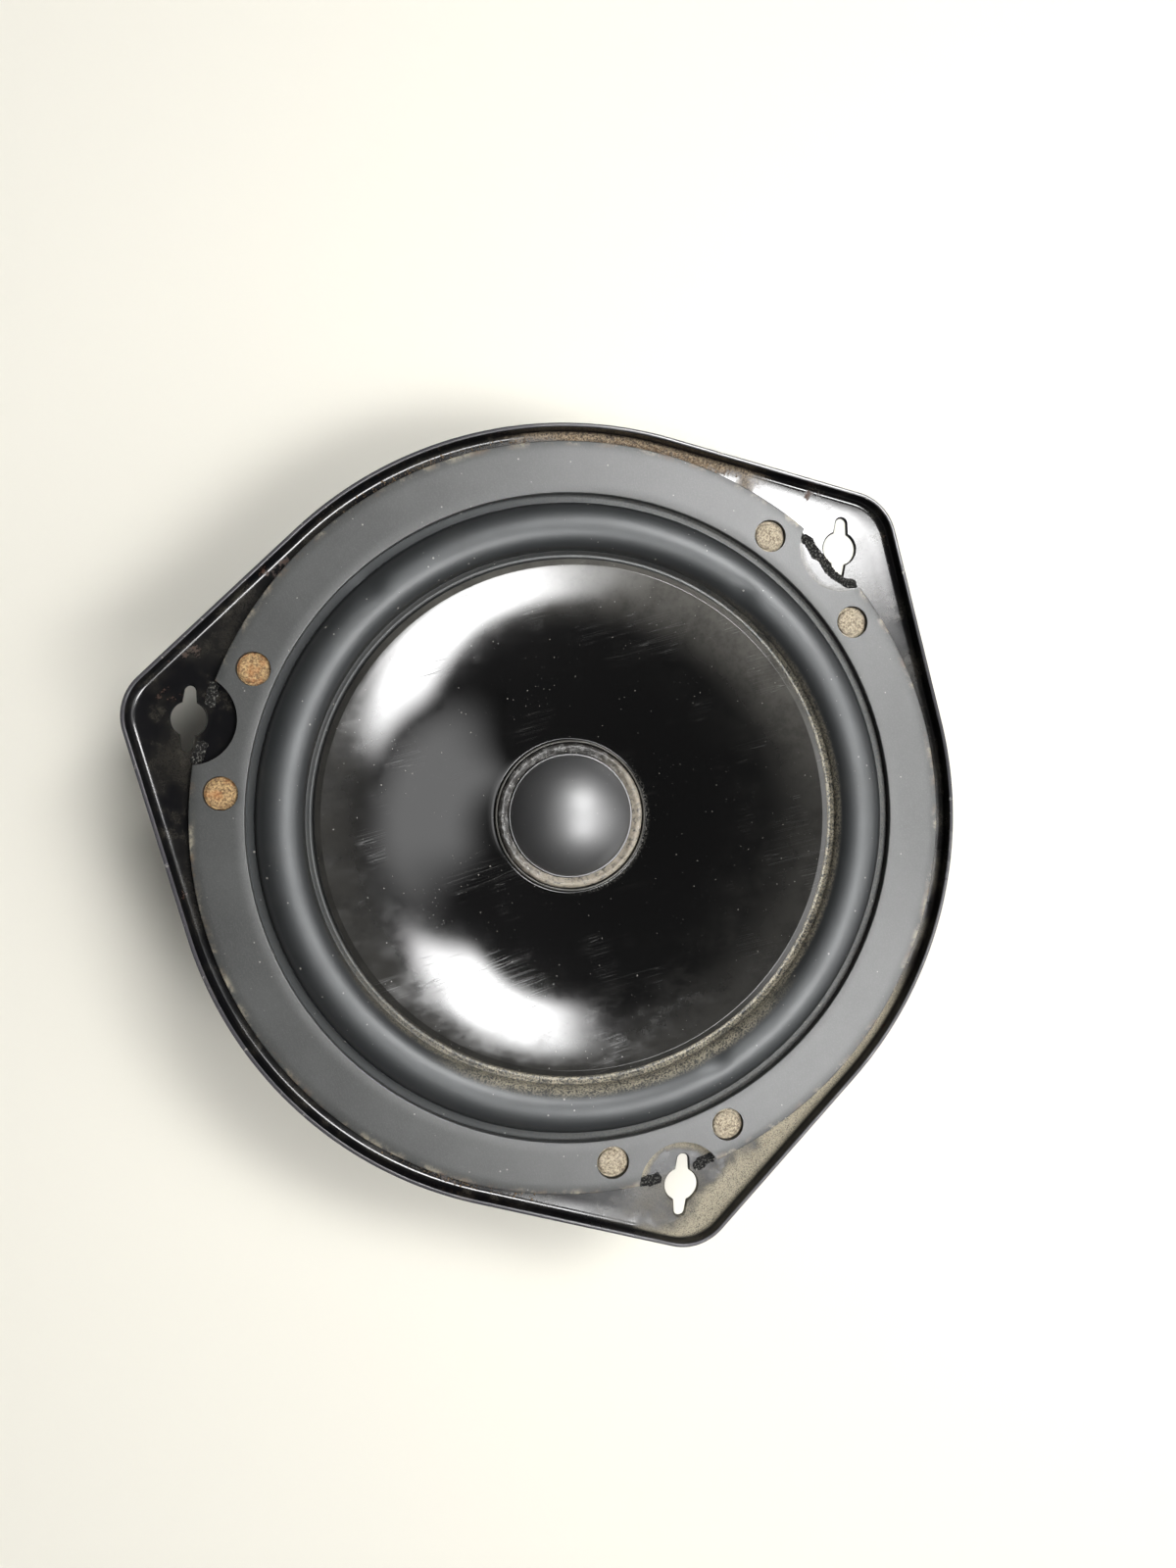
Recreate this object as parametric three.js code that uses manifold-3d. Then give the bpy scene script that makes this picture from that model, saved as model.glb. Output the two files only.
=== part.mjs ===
// Full-range car door speaker, 17 cm class: a stamped three-lobed steel basket with a ferrite
// ring motor, a polypropylene cone on a 25 mm voice coil, a rubber roll surround and a gasket.
// Millimetres. +Z is the listening axis; z = 0 is the rear face of the motor, on the axis.
import * as THREE from 'three';
import { mergeVertices } from 'three/addons/utils/BufferGeometryUtils.js';
import Module from 'manifold-3d';

const wasm = await Module();
wasm.setup();

// ---- driving dimensions -------------------------------------------------------------------

const YOKE = { radius: 37, plate: 5.5, poleRadius: 12.1, poleTop: 22.5, chamfer: 0.8 };
const MAGNET = { radius: 40, bore: 22, base: YOKE.plate, height: 12, chamfer: 1 };
const FRONT_PLATE = { radius: 36, bore: 14, base: MAGNET.base + MAGNET.height, height: 5 };
const BASE_Z = FRONT_PLATE.base + FRONT_PLATE.height;

const GAP = 0.3;
const TOUCH = 0.05;
const SHEET = 1;
const FLANGE = { rear: 54, front: 54.9, inner: 69 };
const LIP = { top: 58.1, thickness: 0.9, fillet: 2.6, rise: 2.2 };
const BODY_RADIUS = 86;
const LOBE = { tipRadius: 11.5, flank: THREE.MathUtils.degToRad(30.9), first: 30, count: 3 };
const SHELF = { inner: 37.5, outer: 46, top: 31 };
const BASE = { hole: 18, flat: 33 };
const WINDOW = { inner: 49, outer: 65, halfAngle: 19, corner: 3, count: 6 };

const SCREW = { circle: 85.5, radius: 3.7, slotWidth: 2.4, slotLength: 13.9, slotAngle: 70.4 };
const NOTCH = { circle: SCREW.circle - 0.8, radius: 9.6 };
const SIGHT_HOLE = { circle: 76.1, spread: 10.2, gasketRadius: 3.6, flangeRadius: 3.1 };

const SURROUND = { inner: 55.3, rollInner: 58.9, rollOuter: 68.9, outer: 81.5, wall: 0.55, lip: 54,
  crest: 58.8 };
const GASKET = { inner: 71, outer: 82.3, base: 55.55, top: 57.3 };

const COIL = { formerInner: 12.5, formerOuter: 12.75, formerBottom: 15, formerTop: 38.2,
  windingRadius: 13.5, windingBottom: 15.5, windingHeight: 9 };
const CONE = { collar: 17.8, flareInner: 18.1, flareOuter: 54.8, rim: 57, rimZ: 55.2, depth: 15.5,
  wall: 0.5, moatZ: 39.4, neckRadius: 13.05, neckBottom: 35.4 };
const CAP = { radius: 14.2, rise: 6.4, wall: 0.4, base: CONE.moatZ + 0.1 };
const SPIDER = { inner: 13.05, waveStart: 14.2, waveEnd: 36.2, waves: 6, outer: 45, wall: 0.5,
  mid: 31.8, swing: 0.9 };

const RIVET = { circle: 26, radius: 1.9, hole: 2.05, headRadius: 3.4, head: 1.2, count: 4 };
const TERMINAL = { reach: 57, padWidth: 18, padLength: 16, padFace: 1.8, boardWidth: 22,
  boardLength: 15, boardThickness: 1.5, spacing: 6, rivetSpacing: 5, leadHole: 3.2, rivetHole: 1.3 };
const TAB = { width: 4.8, thickness: 0.8, foot: 6, blade: 11 };
const EYELET = { shank: 1.1, head: 1.9 };
const BOARD_RIVET = { shank: 1.15, head: 2.1 };
const LEAD_RADIUS = 0.6;
const LEAD_JOINT = { radius: 25, offset: 4, size: 1.6, height: 0.7 };

const FINE = 96;
const MEDIUM = 48;
const COARSE = 32;
const SMALL = 12;

// ---- materials ----------------------------------------------------------------------------

const finish = (color, roughness, metalness) =>
  new THREE.MeshStandardMaterial({ color, roughness, metalness });

const MATERIALS = {
  basketPaint: finish(0x0b0b0d, 0.25, 0.3),
  platedSteel: finish(0xa9a79c, 0.4, 0.9),
  ferrite: finish(0x2b2a2c, 0.65, 0.1),
  gasketBoard: finish(0x6f716f, 0.95, 0),
  surroundRubber: finish(0x111112, 0.5, 0),
  conePlastic: finish(0x070708, 0.15, 0),
  capCoating: finish(0x2c2d31, 0.45, 0),
  adhesive: finish(0x4d4843, 0.6, 0),
  formerFilm: finish(0x8a5a2b, 0.5, 0),
  coilWire: finish(0xa8582c, 0.35, 0.9),
  spiderCloth: finish(0xa8873f, 0.9, 0),
  terminalBoard: finish(0x5a3a22, 0.7, 0),
  tinnedBrass: finish(0xb9b39a, 0.35, 0.9),
  leadBraid: finish(0xb0794a, 0.6, 0.6),
};

// ---- geometry helpers ---------------------------------------------------------------------

/** Keeps positions only, welds shared vertices and drops the slivers that a pole leaves. */
function weld(geometry) {
  geometry.deleteAttribute('normal');
  geometry.deleteAttribute('uv');
  const welded = mergeVertices(geometry, 1e-4);
  const faces = [];
  const index = welded.getIndex().array;
  for (let i = 0; i < index.length; i += 3) {
    const [a, b, c] = [index[i], index[i + 1], index[i + 2]];
    if (a !== b && b !== c && c !== a) faces.push(a, b, c);
  }
  welded.setIndex(faces);
  return welded;
}

/** Turns a closed geometry into a solid that can be cut and joined. */
function toSolid(geometry) {
  const welded = weld(geometry);
  return new wasm.Manifold(new wasm.Mesh({
    numProp: 3,
    vertProperties: new Float32Array(welded.getAttribute('position').array),
    triVerts: new Uint32Array(welded.getIndex().array),
  }));
}

/** Gives a solid back as a geometry. */
function toGeometry(solid) {
  const mesh = solid.getMesh();
  const geometry = new THREE.BufferGeometry();
  geometry.setAttribute('position', new THREE.BufferAttribute(mesh.vertProperties, 3));
  geometry.setIndex(new THREE.BufferAttribute(mesh.triVerts, 1));
  return geometry;
}

/** Cuts every tool out of a geometry. */
function cut(geometry, tools) {
  const carved = tools.reduce((solid, tool) => solid.subtract(toSolid(tool)), toSolid(geometry));
  return toGeometry(carved);
}

/** Spins a closed [radius, z] outline, listed counter-clockwise, about the listening axis. */
function spin(outline, segments) {
  const loop = [...outline, outline[0]].map(([r, z]) => new THREE.Vector2(r, z));
  return new THREE.LatheGeometry(loop, segments).rotateX(Math.PI / 2);
}

/** A plain washer. */
function washer(inner, outer, base, top, segments) {
  return spin([[inner, base], [outer, base], [outer, top], [inner, top]], segments);
}

/** A washer whose outer edges are chamfered. */
function chamferedWasher(inner, outer, base, top, edge, segments) {
  return spin([[inner, base], [outer - edge, base], [outer, base + edge], [outer, top - edge],
    [outer - edge, top], [inner, top]], segments);
}

/** A round bar from base to top, centred at x, y. */
function bar(radius, base, top, segments, x = 0, y = 0) {
  return new THREE.CylinderGeometry(radius, radius, top - base, segments)
    .rotateX(Math.PI / 2)
    .translate(x, y, (base + top) / 2);
}

/** A box from its size and centre. */
function block(width, length, height, x, y, z) {
  return new THREE.BoxGeometry(width, length, height).translate(x, y, z);
}

/** Raises a flat outline from base to top. */
function raise(shape, base, top, curveSegments = 12) {
  const options = { depth: top - base, bevelEnabled: false, curveSegments };
  return new THREE.ExtrudeGeometry(shape, options).translate(0, 0, base);
}

/** The point at a radius and an angle in degrees. */
function polar(radius, degrees) {
  const angle = THREE.MathUtils.degToRad(degrees);
  return [radius * Math.cos(angle), radius * Math.sin(angle)];
}

const lobeAngles = Array.from({ length: LOBE.count }, (_, i) => LOBE.first + (i * 360) / LOBE.count);

// ---- basket -------------------------------------------------------------------------------

/** Radius of the lobed rim at an angle, for an outline moved inwards by inset. */
function rimRadius(angle, inset) {
  const pitch = (2 * Math.PI) / LOBE.count;
  const first = THREE.MathUtils.degToRad(LOBE.first);
  const turned = THREE.MathUtils.euclideanModulo(angle - first + pitch / 2, pitch) - pitch / 2;
  const away = Math.abs(turned);
  const body = BODY_RADIUS - inset;
  const tip = LOBE.tipRadius - inset;
  const centre = (BODY_RADIUS - LOBE.tipRadius) / Math.cos(LOBE.flank);
  const corner = Math.atan2(tip * Math.sin(LOBE.flank), centre + tip * Math.cos(LOBE.flank));
  if (away >= LOBE.flank) return body;
  if (away >= corner) return body / Math.cos(LOBE.flank - away);
  return centre * Math.cos(away) + Math.sqrt(tip ** 2 - (centre * Math.sin(away)) ** 2);
}

/** Moves the vertices outside the round part so that they follow the lobed rim. */
function lobeTheRim(geometry) {
  const position = geometry.getAttribute('position');
  for (let i = 0; i < position.count; i += 1) {
    const [x, y] = [position.getX(i), position.getY(i)];
    const radius = Math.hypot(x, y);
    if (radius > FLANGE.inner + SHEET) {
      const scale = rimRadius(Math.atan2(y, x), BODY_RADIUS - radius) / radius;
      position.setXY(i, x * scale, y * scale);
    }
  }
  return geometry;
}

/** A sector of a ring with rounded corners, centred on an angle in degrees. */
function windowShape(degrees) {
  const { inner, outer, halfAngle, corner } = WINDOW;
  const shape = new THREE.Shape();
  const low = THREE.MathUtils.degToRad(degrees - halfAngle);
  const high = THREE.MathUtils.degToRad(degrees + halfAngle);
  const innerTrim = corner / inner;
  const outerTrim = corner / outer;
  const at = (radius, angle) => [radius * Math.cos(angle), radius * Math.sin(angle)];
  shape.absarc(0, 0, outer, low + outerTrim, high - outerTrim, false);
  shape.quadraticCurveTo(...at(outer, high), ...at(outer - corner, high));
  shape.lineTo(...at(inner + corner, high));
  shape.quadraticCurveTo(...at(inner, high), ...at(inner, high - innerTrim));
  shape.absarc(0, 0, inner, high - innerTrim, low + innerTrim, true);
  shape.quadraticCurveTo(...at(inner, low), ...at(inner + corner, low));
  shape.lineTo(...at(outer - corner, low));
  shape.quadraticCurveTo(...at(outer, low), ...at(outer, low + outerTrim));
  return shape;
}

/** The tools for one screw hole: a round hole and the slot that runs through it. */
function screwHoleTools(degrees) {
  const [x, y] = polar(SCREW.circle, degrees);
  const [base, top] = [FLANGE.rear - 1, FLANGE.front + 1];
  const halfRun = (SCREW.slotLength - SCREW.slotWidth) / 2;
  const half = SCREW.slotWidth / 2;
  const slot = new THREE.Shape();
  slot.absarc(halfRun, 0, half, -Math.PI / 2, Math.PI / 2, false);
  slot.absarc(-halfRun, 0, half, Math.PI / 2, (3 * Math.PI) / 2, false);
  const slotTool = raise(slot, base, top, 4)
    .rotateZ(THREE.MathUtils.degToRad(SCREW.slotAngle))
    .translate(x, y, 0);
  return [bar(SCREW.radius, base, top, 24, x, y), slotTool];
}

const wallSlope = Math.atan2(FLANGE.front - SHELF.top, FLANGE.inner - SHELF.outer);
const seatZ = SHELF.top + (TERMINAL.reach - SHELF.outer) * Math.tan(wallSlope);

/** Turns the terminal seat's own frame into the speaker's: its +Z points out of the wall. */
function toTerminalSeat(geometry) {
  return geometry.rotateX(wallSlope - Math.PI).translate(0, TERMINAL.reach, seatZ);
}

const seatDrop = SHEET * Math.SQRT1_2;

function basket() {
  const { rear, front, inner } = FLANGE;
  const outline = [
    [BASE.hole, BASE_Z], [BASE.flat, BASE_Z], [SHELF.inner + 0.4, SHELF.top - SHEET],
    [SHELF.outer + seatDrop, SHELF.top - SHEET], [inner + seatDrop, rear],
    [BODY_RADIUS - LIP.fillet, rear], [BODY_RADIUS - LIP.fillet / 4, rear + LIP.rise / 3],
    [BODY_RADIUS, rear + LIP.rise], [BODY_RADIUS, LIP.top], [BODY_RADIUS - LIP.thickness, LIP.top],
    [BODY_RADIUS - LIP.thickness, rear + LIP.rise], [BODY_RADIUS - LIP.fillet, front], [inner, front],
    [SHELF.outer, SHELF.top], [SHELF.inner, SHELF.top], [BASE.flat - 0.6, BASE_Z + SHEET],
    [BASE.hole, BASE_Z + SHEET],
  ];
  const shell = toSolid(lobeTheRim(spin(outline, FINE)));
  const { padWidth, padLength, padFace, spacing, rivetSpacing } = TERMINAL;
  const padBase = SHEET / 4;
  const pad = toTerminalSeat(block(padWidth, padLength, padFace - padBase, 0, 0, (padFace + padBase) / 2));
  const tools = lobeAngles.flatMap(screwHoleTools);
  for (let i = 0; i < WINDOW.count; i += 1) {
    const angle = (i * 360) / WINDOW.count;
    tools.push(raise(windowShape(angle), SHELF.top - 4, FLANGE.rear - 0.5, 5));
  }
  for (let i = 0; i < RIVET.count; i += 1) {
    tools.push(bar(RIVET.hole, BASE_Z - 1, BASE_Z + 2, SMALL, ...rivetPlace(i)));
  }
  for (const side of [-1, 1]) {
    tools.push(toTerminalSeat(bar(TERMINAL.leadHole, -4, 4, SMALL, side * spacing, 0)));
    tools.push(toTerminalSeat(bar(TERMINAL.rivetHole, -4, 4, SMALL, 0, side * rivetSpacing)));
  }
  const joined = shell.add(toSolid(pad));
  return toGeometry(tools.reduce((solid, tool) => solid.subtract(toSolid(tool)), joined));
}

// ---- motor --------------------------------------------------------------------------------

function rivetPlace(i) {
  return polar(RIVET.circle, 45 + (i * 360) / RIVET.count);
}

function yoke() {
  const { radius, plate, poleRadius, poleTop, chamfer } = YOKE;
  return spin([[0, 0], [radius - chamfer, 0], [radius, chamfer], [radius, plate - chamfer],
    [radius - chamfer, plate], [poleRadius, plate], [poleRadius, poleTop - chamfer],
    [poleRadius - chamfer, poleTop], [0, poleTop]], MEDIUM);
}

function magnetRing() {
  const { radius, bore, base, height, chamfer } = MAGNET;
  return chamferedWasher(bore, radius, base, base + height, chamfer, MEDIUM);
}

function frontPlate() {
  const { radius, bore, base, height } = FRONT_PLATE;
  const holes = Array.from({ length: RIVET.count }, (_, i) =>
    bar(RIVET.hole, base - 1, base + height + 1, SMALL, ...rivetPlace(i)));
  return cut(chamferedWasher(bore, radius, base, base + height, YOKE.chamfer, MEDIUM), holes);
}

function basketRivet(i) {
  const headBase = BASE_Z + SHEET;
  const { radius, headRadius, head } = RIVET;
  const shankBase = FRONT_PLATE.base + GAP;
  return spin([[0, shankBase], [radius, shankBase], [radius, headBase],
    [headRadius, headBase], [headRadius * 0.75, headBase + head], [0, headBase + head]], SMALL)
    .translate(...rivetPlace(i), 0);
}

// ---- moving assembly ----------------------------------------------------------------------

function voiceCoilFormer() {
  return washer(COIL.formerInner, COIL.formerOuter, COIL.formerBottom, COIL.formerTop, COARSE);
}

function voiceCoilWinding() {
  const { formerOuter, windingRadius, windingBottom, windingHeight } = COIL;
  return washer(formerOuter + TOUCH, windingRadius, windingBottom, windingBottom + windingHeight, COARSE);
}

/** Height of the cone's front surface over its flare: steeper towards the neck. */
function flareHeight(radius) {
  const t = (CONE.flareOuter - radius) / (CONE.flareOuter - CONE.flareInner);
  return CONE.rimZ - CONE.depth * (0.6 * t + 0.4 * t * t);
}

function cone() {
  const { collar, flareInner, flareOuter, rim, rimZ, wall, moatZ, neckRadius, neckBottom } = CONE;
  const steps = 4;
  const step = (flareOuter - flareInner) / steps;
  const radii = Array.from({ length: steps + 1 }, (_, i) => flareInner + step * i);
  const front = radii.map((r) => [r, flareHeight(r)]);
  const back = radii.map((r) => [r + 0.1, flareHeight(r) - wall - 0.05]);
  const outline = [
    [neckRadius, neckBottom], [neckRadius + wall, neckBottom], [neckRadius + wall + 0.3, moatZ - wall - 0.4],
    ...back, [rim, rimZ - wall + 0.1], [rim, rimZ], ...front.reverse(),
    [collar, moatZ + 1], [collar - 0.7, moatZ + 1], [collar - 0.9, moatZ], [neckRadius + 0.6, moatZ - 0.2],
    [neckRadius, moatZ - 0.9],
  ];
  return spin(outline, MEDIUM);
}

function dustCap() {
  const { radius, rise, wall, base } = CAP;
  const steps = 5;
  const dome = (span, height) => Array.from({ length: steps + 1 }, (_, i) => {
    const angle = (i * Math.PI) / (2 * steps);
    return [span * Math.cos(angle), base + height * Math.sin(angle)];
  });
  const outer = dome(radius, rise);
  const inner = dome(radius - wall, rise - wall).reverse();
  return spin([...outer, ...inner], COARSE);
}

function capGlueBead() {
  const base = CAP.base;
  const [inner, outer] = [CAP.radius + 0.1, CONE.collar - 1];
  return spin([[inner, base], [outer, base], [outer - 0.3, base + 0.7], [(inner + outer) / 2, base + 1],
    [inner, base + 0.8]], COARSE);
}

function neckAdhesive() {
  const base = SPIDER.mid + SPIDER.swing + GAP;
  const height = 1.8;
  const inner = COIL.formerOuter + TOUCH;
  return spin([[inner, base], [SPIDER.waveStart, base], [inner + GAP, base + height], [inner, base + height]],
    COARSE);
}

// ---- suspension ---------------------------------------------------------------------------

/** The holes and notches that let the flange metal show through the rim seals. */
function rimTools(holeRadius, notchRadius) {
  const [base, top] = [FLANGE.front - 2, GASKET.top + 2];
  return lobeAngles.flatMap((angle) => [
    bar(notchRadius, base, top, 32, ...polar(NOTCH.circle, angle)),
    bar(holeRadius, base, top, SMALL, ...polar(SIGHT_HOLE.circle, angle - SIGHT_HOLE.spread)),
    bar(holeRadius, base, top, SMALL, ...polar(SIGHT_HOLE.circle, angle + SIGHT_HOLE.spread)),
  ]);
}

/** Points across the half roll, from its inner foot to its outer foot. */
function rollArch(reach, innerZ, outerZ, crest) {
  const steps = 6;
  const middle = (SURROUND.rollInner + SURROUND.rollOuter) / 2;
  const rise = crest - (innerZ + outerZ) / 2;
  return Array.from({ length: steps + 1 }, (_, i) => {
    const angle = (i * Math.PI) / steps;
    const foot = THREE.MathUtils.lerp(innerZ, outerZ, (1 - Math.cos(angle)) / 2);
    return [middle - reach * Math.cos(angle), foot + rise * Math.sin(angle)];
  });
}

function surround() {
  const { inner, rollInner, rollOuter, outer, wall, lip, crest } = SURROUND;
  const seat = FLANGE.front + TOUCH;
  const half = (rollOuter - rollInner) / 2;
  const under = [[inner, lip], ...rollArch(half, lip, seat, crest - wall), [outer, seat]];
  const over = [[inner, lip + wall], ...rollArch(half + wall, lip + wall, seat + wall, crest),
    [outer, seat + wall]];
  const ring = spin([...under, ...over.reverse()], MEDIUM);
  return cut(ring, rimTools(SIGHT_HOLE.flangeRadius, NOTCH.radius + TOUCH));
}

function gasketRing() {
  const ring = washer(GASKET.inner, GASKET.outer, GASKET.base, GASKET.top, FINE);
  return cut(ring, rimTools(SIGHT_HOLE.gasketRadius, NOTCH.radius));
}

function spider() {
  const { inner, waveStart, waveEnd, waves, outer, wall, mid, swing } = SPIDER;
  const seat = SHELF.top + TOUCH;
  const crests = Array.from({ length: waves + 1 }, (_, i) => [
    waveStart + ((waveEnd - waveStart) * i) / waves,
    mid + (i % 2 ? -swing : swing) - wall,
  ]);
  const under = [[inner, mid - wall / 2], ...crests, [SHELF.inner + 0.3, seat], [outer, seat]];
  const over = under.map(([r, z]) => [r, z + wall]).reverse();
  return spin([...under, ...over], COARSE);
}

// ---- terminals and leads ------------------------------------------------------------------

function terminalBoard() {
  const { boardWidth, boardLength, boardThickness, padFace, spacing, rivetSpacing } = TERMINAL;
  const board = block(boardWidth, boardLength, boardThickness, 0, 0, padFace + GAP + boardThickness / 2);
  const holes = [-1, 1].flatMap((side) => [
    bar(TERMINAL.rivetHole, 0, 8, SMALL, side * spacing, 0),
    bar(TERMINAL.rivetHole, 0, 8, SMALL, 0, side * rivetSpacing),
  ]);
  return toTerminalSeat(cut(board, holes));
}

const boardTop = TERMINAL.padFace + GAP + TERMINAL.boardThickness;

function terminalTab(side) {
  const x = side * TERMINAL.spacing;
  const base = boardTop + GAP;
  const foot = block(TAB.width, TAB.foot, TAB.thickness, x, 0, base + TAB.thickness / 2);
  const bladeY = (TAB.foot - TAB.thickness) / 2;
  const blade = block(TAB.width, TAB.thickness, TAB.blade, x, bladeY, base + TAB.blade / 2);
  const hole = bar(TERMINAL.rivetHole, base - 1, base + 2, SMALL, x, 0);
  const tab = toSolid(foot).add(toSolid(blade)).subtract(toSolid(hole));
  return toTerminalSeat(toGeometry(tab));
}

/** A headed pin through a terminal hole, from its inner flange to its outer head. */
function headedPin(x, y, innerBase, outerBase, { shank, head }) {
  const thickness = 0.5;
  return toTerminalSeat(spin([[0, innerBase - thickness], [head, innerBase - thickness], [head, innerBase],
    [shank, innerBase], [shank, outerBase], [head, outerBase], [head * 0.8, outerBase + thickness],
    [0, outerBase + thickness]], SMALL).translate(x, y, 0));
}

function tabEyelet(side) {
  const outerBase = boardTop + GAP + TAB.thickness + TOUCH;
  return headedPin(side * TERMINAL.spacing, 0, TERMINAL.padFace + GAP - TOUCH, outerBase, EYELET);
}

function boardRivet(side) {
  return headedPin(0, side * TERMINAL.rivetSpacing, -GAP / 2, boardTop + TOUCH, BOARD_RIVET);
}

/** Where a lead leaves its eyelet, and where it meets the back of the cone. */
function leadCurve(side) {
  const eyelet = new THREE.Vector3(side * TERMINAL.spacing, 0, TERMINAL.padFace - 2 * GAP);
  eyelet.applyAxisAngle(new THREE.Vector3(1, 0, 0), wallSlope - Math.PI);
  eyelet.add(new THREE.Vector3(0, TERMINAL.reach, seatZ));
  return new THREE.CatmullRomCurve3([
    eyelet,
    new THREE.Vector3(side * 6, 55.2, 43.8),
    new THREE.Vector3(side * 5.9, 51, 44.2),
    new THREE.Vector3(side * 5.6, 45, 41.2),
    new THREE.Vector3(side * 5.2, 38, 38.6),
    new THREE.Vector3(side * 4.7, 31, 38.4),
    new THREE.Vector3(side * 4.2, 26.6, 40.2),
    new THREE.Vector3(side * LEAD_JOINT.offset, LEAD_JOINT.radius, 41.7),
  ]);
}

function lead(side) {
  const section = new THREE.Shape().absarc(0, 0, LEAD_RADIUS, 0, 2 * Math.PI, false);
  const options = { steps: 16, extrudePath: leadCurve(side), curveSegments: 4, bevelEnabled: false };
  return new THREE.ExtrudeGeometry(section, options);
}

function leadJoint(side) {
  const { radius, offset, size, height } = LEAD_JOINT;
  const slope = Math.atan((flareHeight(radius + 1) - flareHeight(radius - 1)) / 2);
  return bar(size, -height, 0, SMALL)
    .rotateX(slope)
    .translate(side * offset, radius, flareHeight(Math.hypot(radius, offset)) - CONE.wall - 0.5);
}

// ---- assembly -----------------------------------------------------------------------------

const speaker = new THREE.Group();

function place(name, geometry, material) {
  const mesh = new THREE.Mesh(geometry, material);
  mesh.name = name;
  speaker.add(mesh);
}

place('basket', basket(), MATERIALS.basketPaint);
place('yoke', yoke(), MATERIALS.platedSteel);
place('magnet_ring', magnetRing(), MATERIALS.ferrite);
place('front_plate', frontPlate(), MATERIALS.platedSteel);
for (let i = 0; i < RIVET.count; i += 1) {
  place(`basket_rivet_${i + 1}`, basketRivet(i), MATERIALS.platedSteel);
}
place('gasket_ring', gasketRing(), MATERIALS.gasketBoard);
place('surround', surround(), MATERIALS.surroundRubber);
place('spider', spider(), MATERIALS.spiderCloth);
place('cone', cone(), MATERIALS.conePlastic);
place('dust_cap', dustCap(), MATERIALS.capCoating);
place('cap_glue_bead', capGlueBead(), MATERIALS.adhesive);
place('voice_coil_former', voiceCoilFormer(), MATERIALS.formerFilm);
place('voice_coil_winding', voiceCoilWinding(), MATERIALS.coilWire);
place('neck_adhesive', neckAdhesive(), MATERIALS.adhesive);
place('terminal_board', terminalBoard(), MATERIALS.terminalBoard);
for (const [sign, side] of [['negative', -1], ['positive', 1]]) {
  place(`terminal_tab_${sign}`, terminalTab(side), MATERIALS.tinnedBrass);
  place(`tab_eyelet_${sign}`, tabEyelet(side), MATERIALS.tinnedBrass);
  place(`lead_${sign}`, lead(side), MATERIALS.leadBraid);
  place(`lead_joint_${sign}`, leadJoint(side), MATERIALS.adhesive);
}
place('board_rivet_upper', boardRivet(-1), MATERIALS.platedSteel);
place('board_rivet_lower', boardRivet(1), MATERIALS.platedSteel);

export default speaker;
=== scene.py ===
"""Visual model of a 17 cm class car door speaker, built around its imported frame.

Lengths in the classes are millimetres in the part's own frame: +Z is the listening axis and
z = 0 is the rear face of the motor. Meshes are made in metres.
"""
import logging
import math
import random
from dataclasses import dataclass, field
from enum import Enum
from typing import Callable, Iterable, Sequence

import bmesh
import bpy
from mathutils import Matrix, Vector, noise
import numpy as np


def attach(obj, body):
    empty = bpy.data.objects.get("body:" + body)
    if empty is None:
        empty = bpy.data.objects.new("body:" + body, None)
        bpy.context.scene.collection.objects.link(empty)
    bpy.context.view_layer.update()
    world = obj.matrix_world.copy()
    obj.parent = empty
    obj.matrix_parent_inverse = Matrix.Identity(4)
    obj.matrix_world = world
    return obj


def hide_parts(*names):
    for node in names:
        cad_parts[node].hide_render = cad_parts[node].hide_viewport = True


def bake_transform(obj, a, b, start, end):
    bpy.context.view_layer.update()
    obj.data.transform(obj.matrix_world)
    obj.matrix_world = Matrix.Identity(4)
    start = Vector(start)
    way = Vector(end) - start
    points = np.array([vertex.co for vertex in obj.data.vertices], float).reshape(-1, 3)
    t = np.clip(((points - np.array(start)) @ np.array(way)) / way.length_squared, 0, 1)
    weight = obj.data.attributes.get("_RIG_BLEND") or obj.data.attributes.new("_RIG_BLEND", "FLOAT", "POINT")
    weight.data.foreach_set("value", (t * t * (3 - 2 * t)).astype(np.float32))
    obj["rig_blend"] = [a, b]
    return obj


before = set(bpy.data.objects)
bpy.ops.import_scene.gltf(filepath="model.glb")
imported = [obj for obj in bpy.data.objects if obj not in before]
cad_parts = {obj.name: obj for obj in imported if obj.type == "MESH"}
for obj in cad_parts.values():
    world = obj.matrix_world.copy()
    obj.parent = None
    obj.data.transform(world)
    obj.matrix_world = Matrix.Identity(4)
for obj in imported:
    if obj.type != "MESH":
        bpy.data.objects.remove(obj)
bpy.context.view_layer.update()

LOG = logging.getLogger("speaker")

MM = 0.001
FULL_TURN = 2 * math.pi

Point = tuple[float, float]
Corner = tuple[float, float, float]
Colour = tuple[float, float, float]

# The direction, in degrees, of the rim's dustiest side, and the colours of dirt.
DUST_SIDE = -60.0
SAND: Colour = (0.33, 0.295, 0.22)
PALE_DUST: Colour = (0.48, 0.46, 0.41)
RUST: Colour = (0.16, 0.055, 0.015)


class Body(Enum):
    """The two rigid bodies of the speaker."""

    FRAME = "frame"
    MOVING = "moving_assembly"


class Axis(Enum):
    """Coordinate axes by their index."""

    X = 0
    Y = 1
    Z = 2


# ---- outlines -------------------------------------------------------------------------------


def polar(radius: float, degrees: float) -> Point:
    """Gives the plane point at a radius and an angle in degrees."""
    angle = math.radians(degrees)
    return radius * math.cos(angle), radius * math.sin(angle)


def smoothstep(low: float, high: float, value: float) -> float:
    """Rises smoothly from 0 at low to 1 at high."""
    share = min(max((value - low) / (high - low), 0.0), 1.0)
    return share * share * (3 - 2 * share)


def angle_between(first: float, second: float) -> float:
    """Gives the signed turn, in degrees, from the second angle to the first."""
    return (first - second + 180) % 360 - 180


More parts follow.
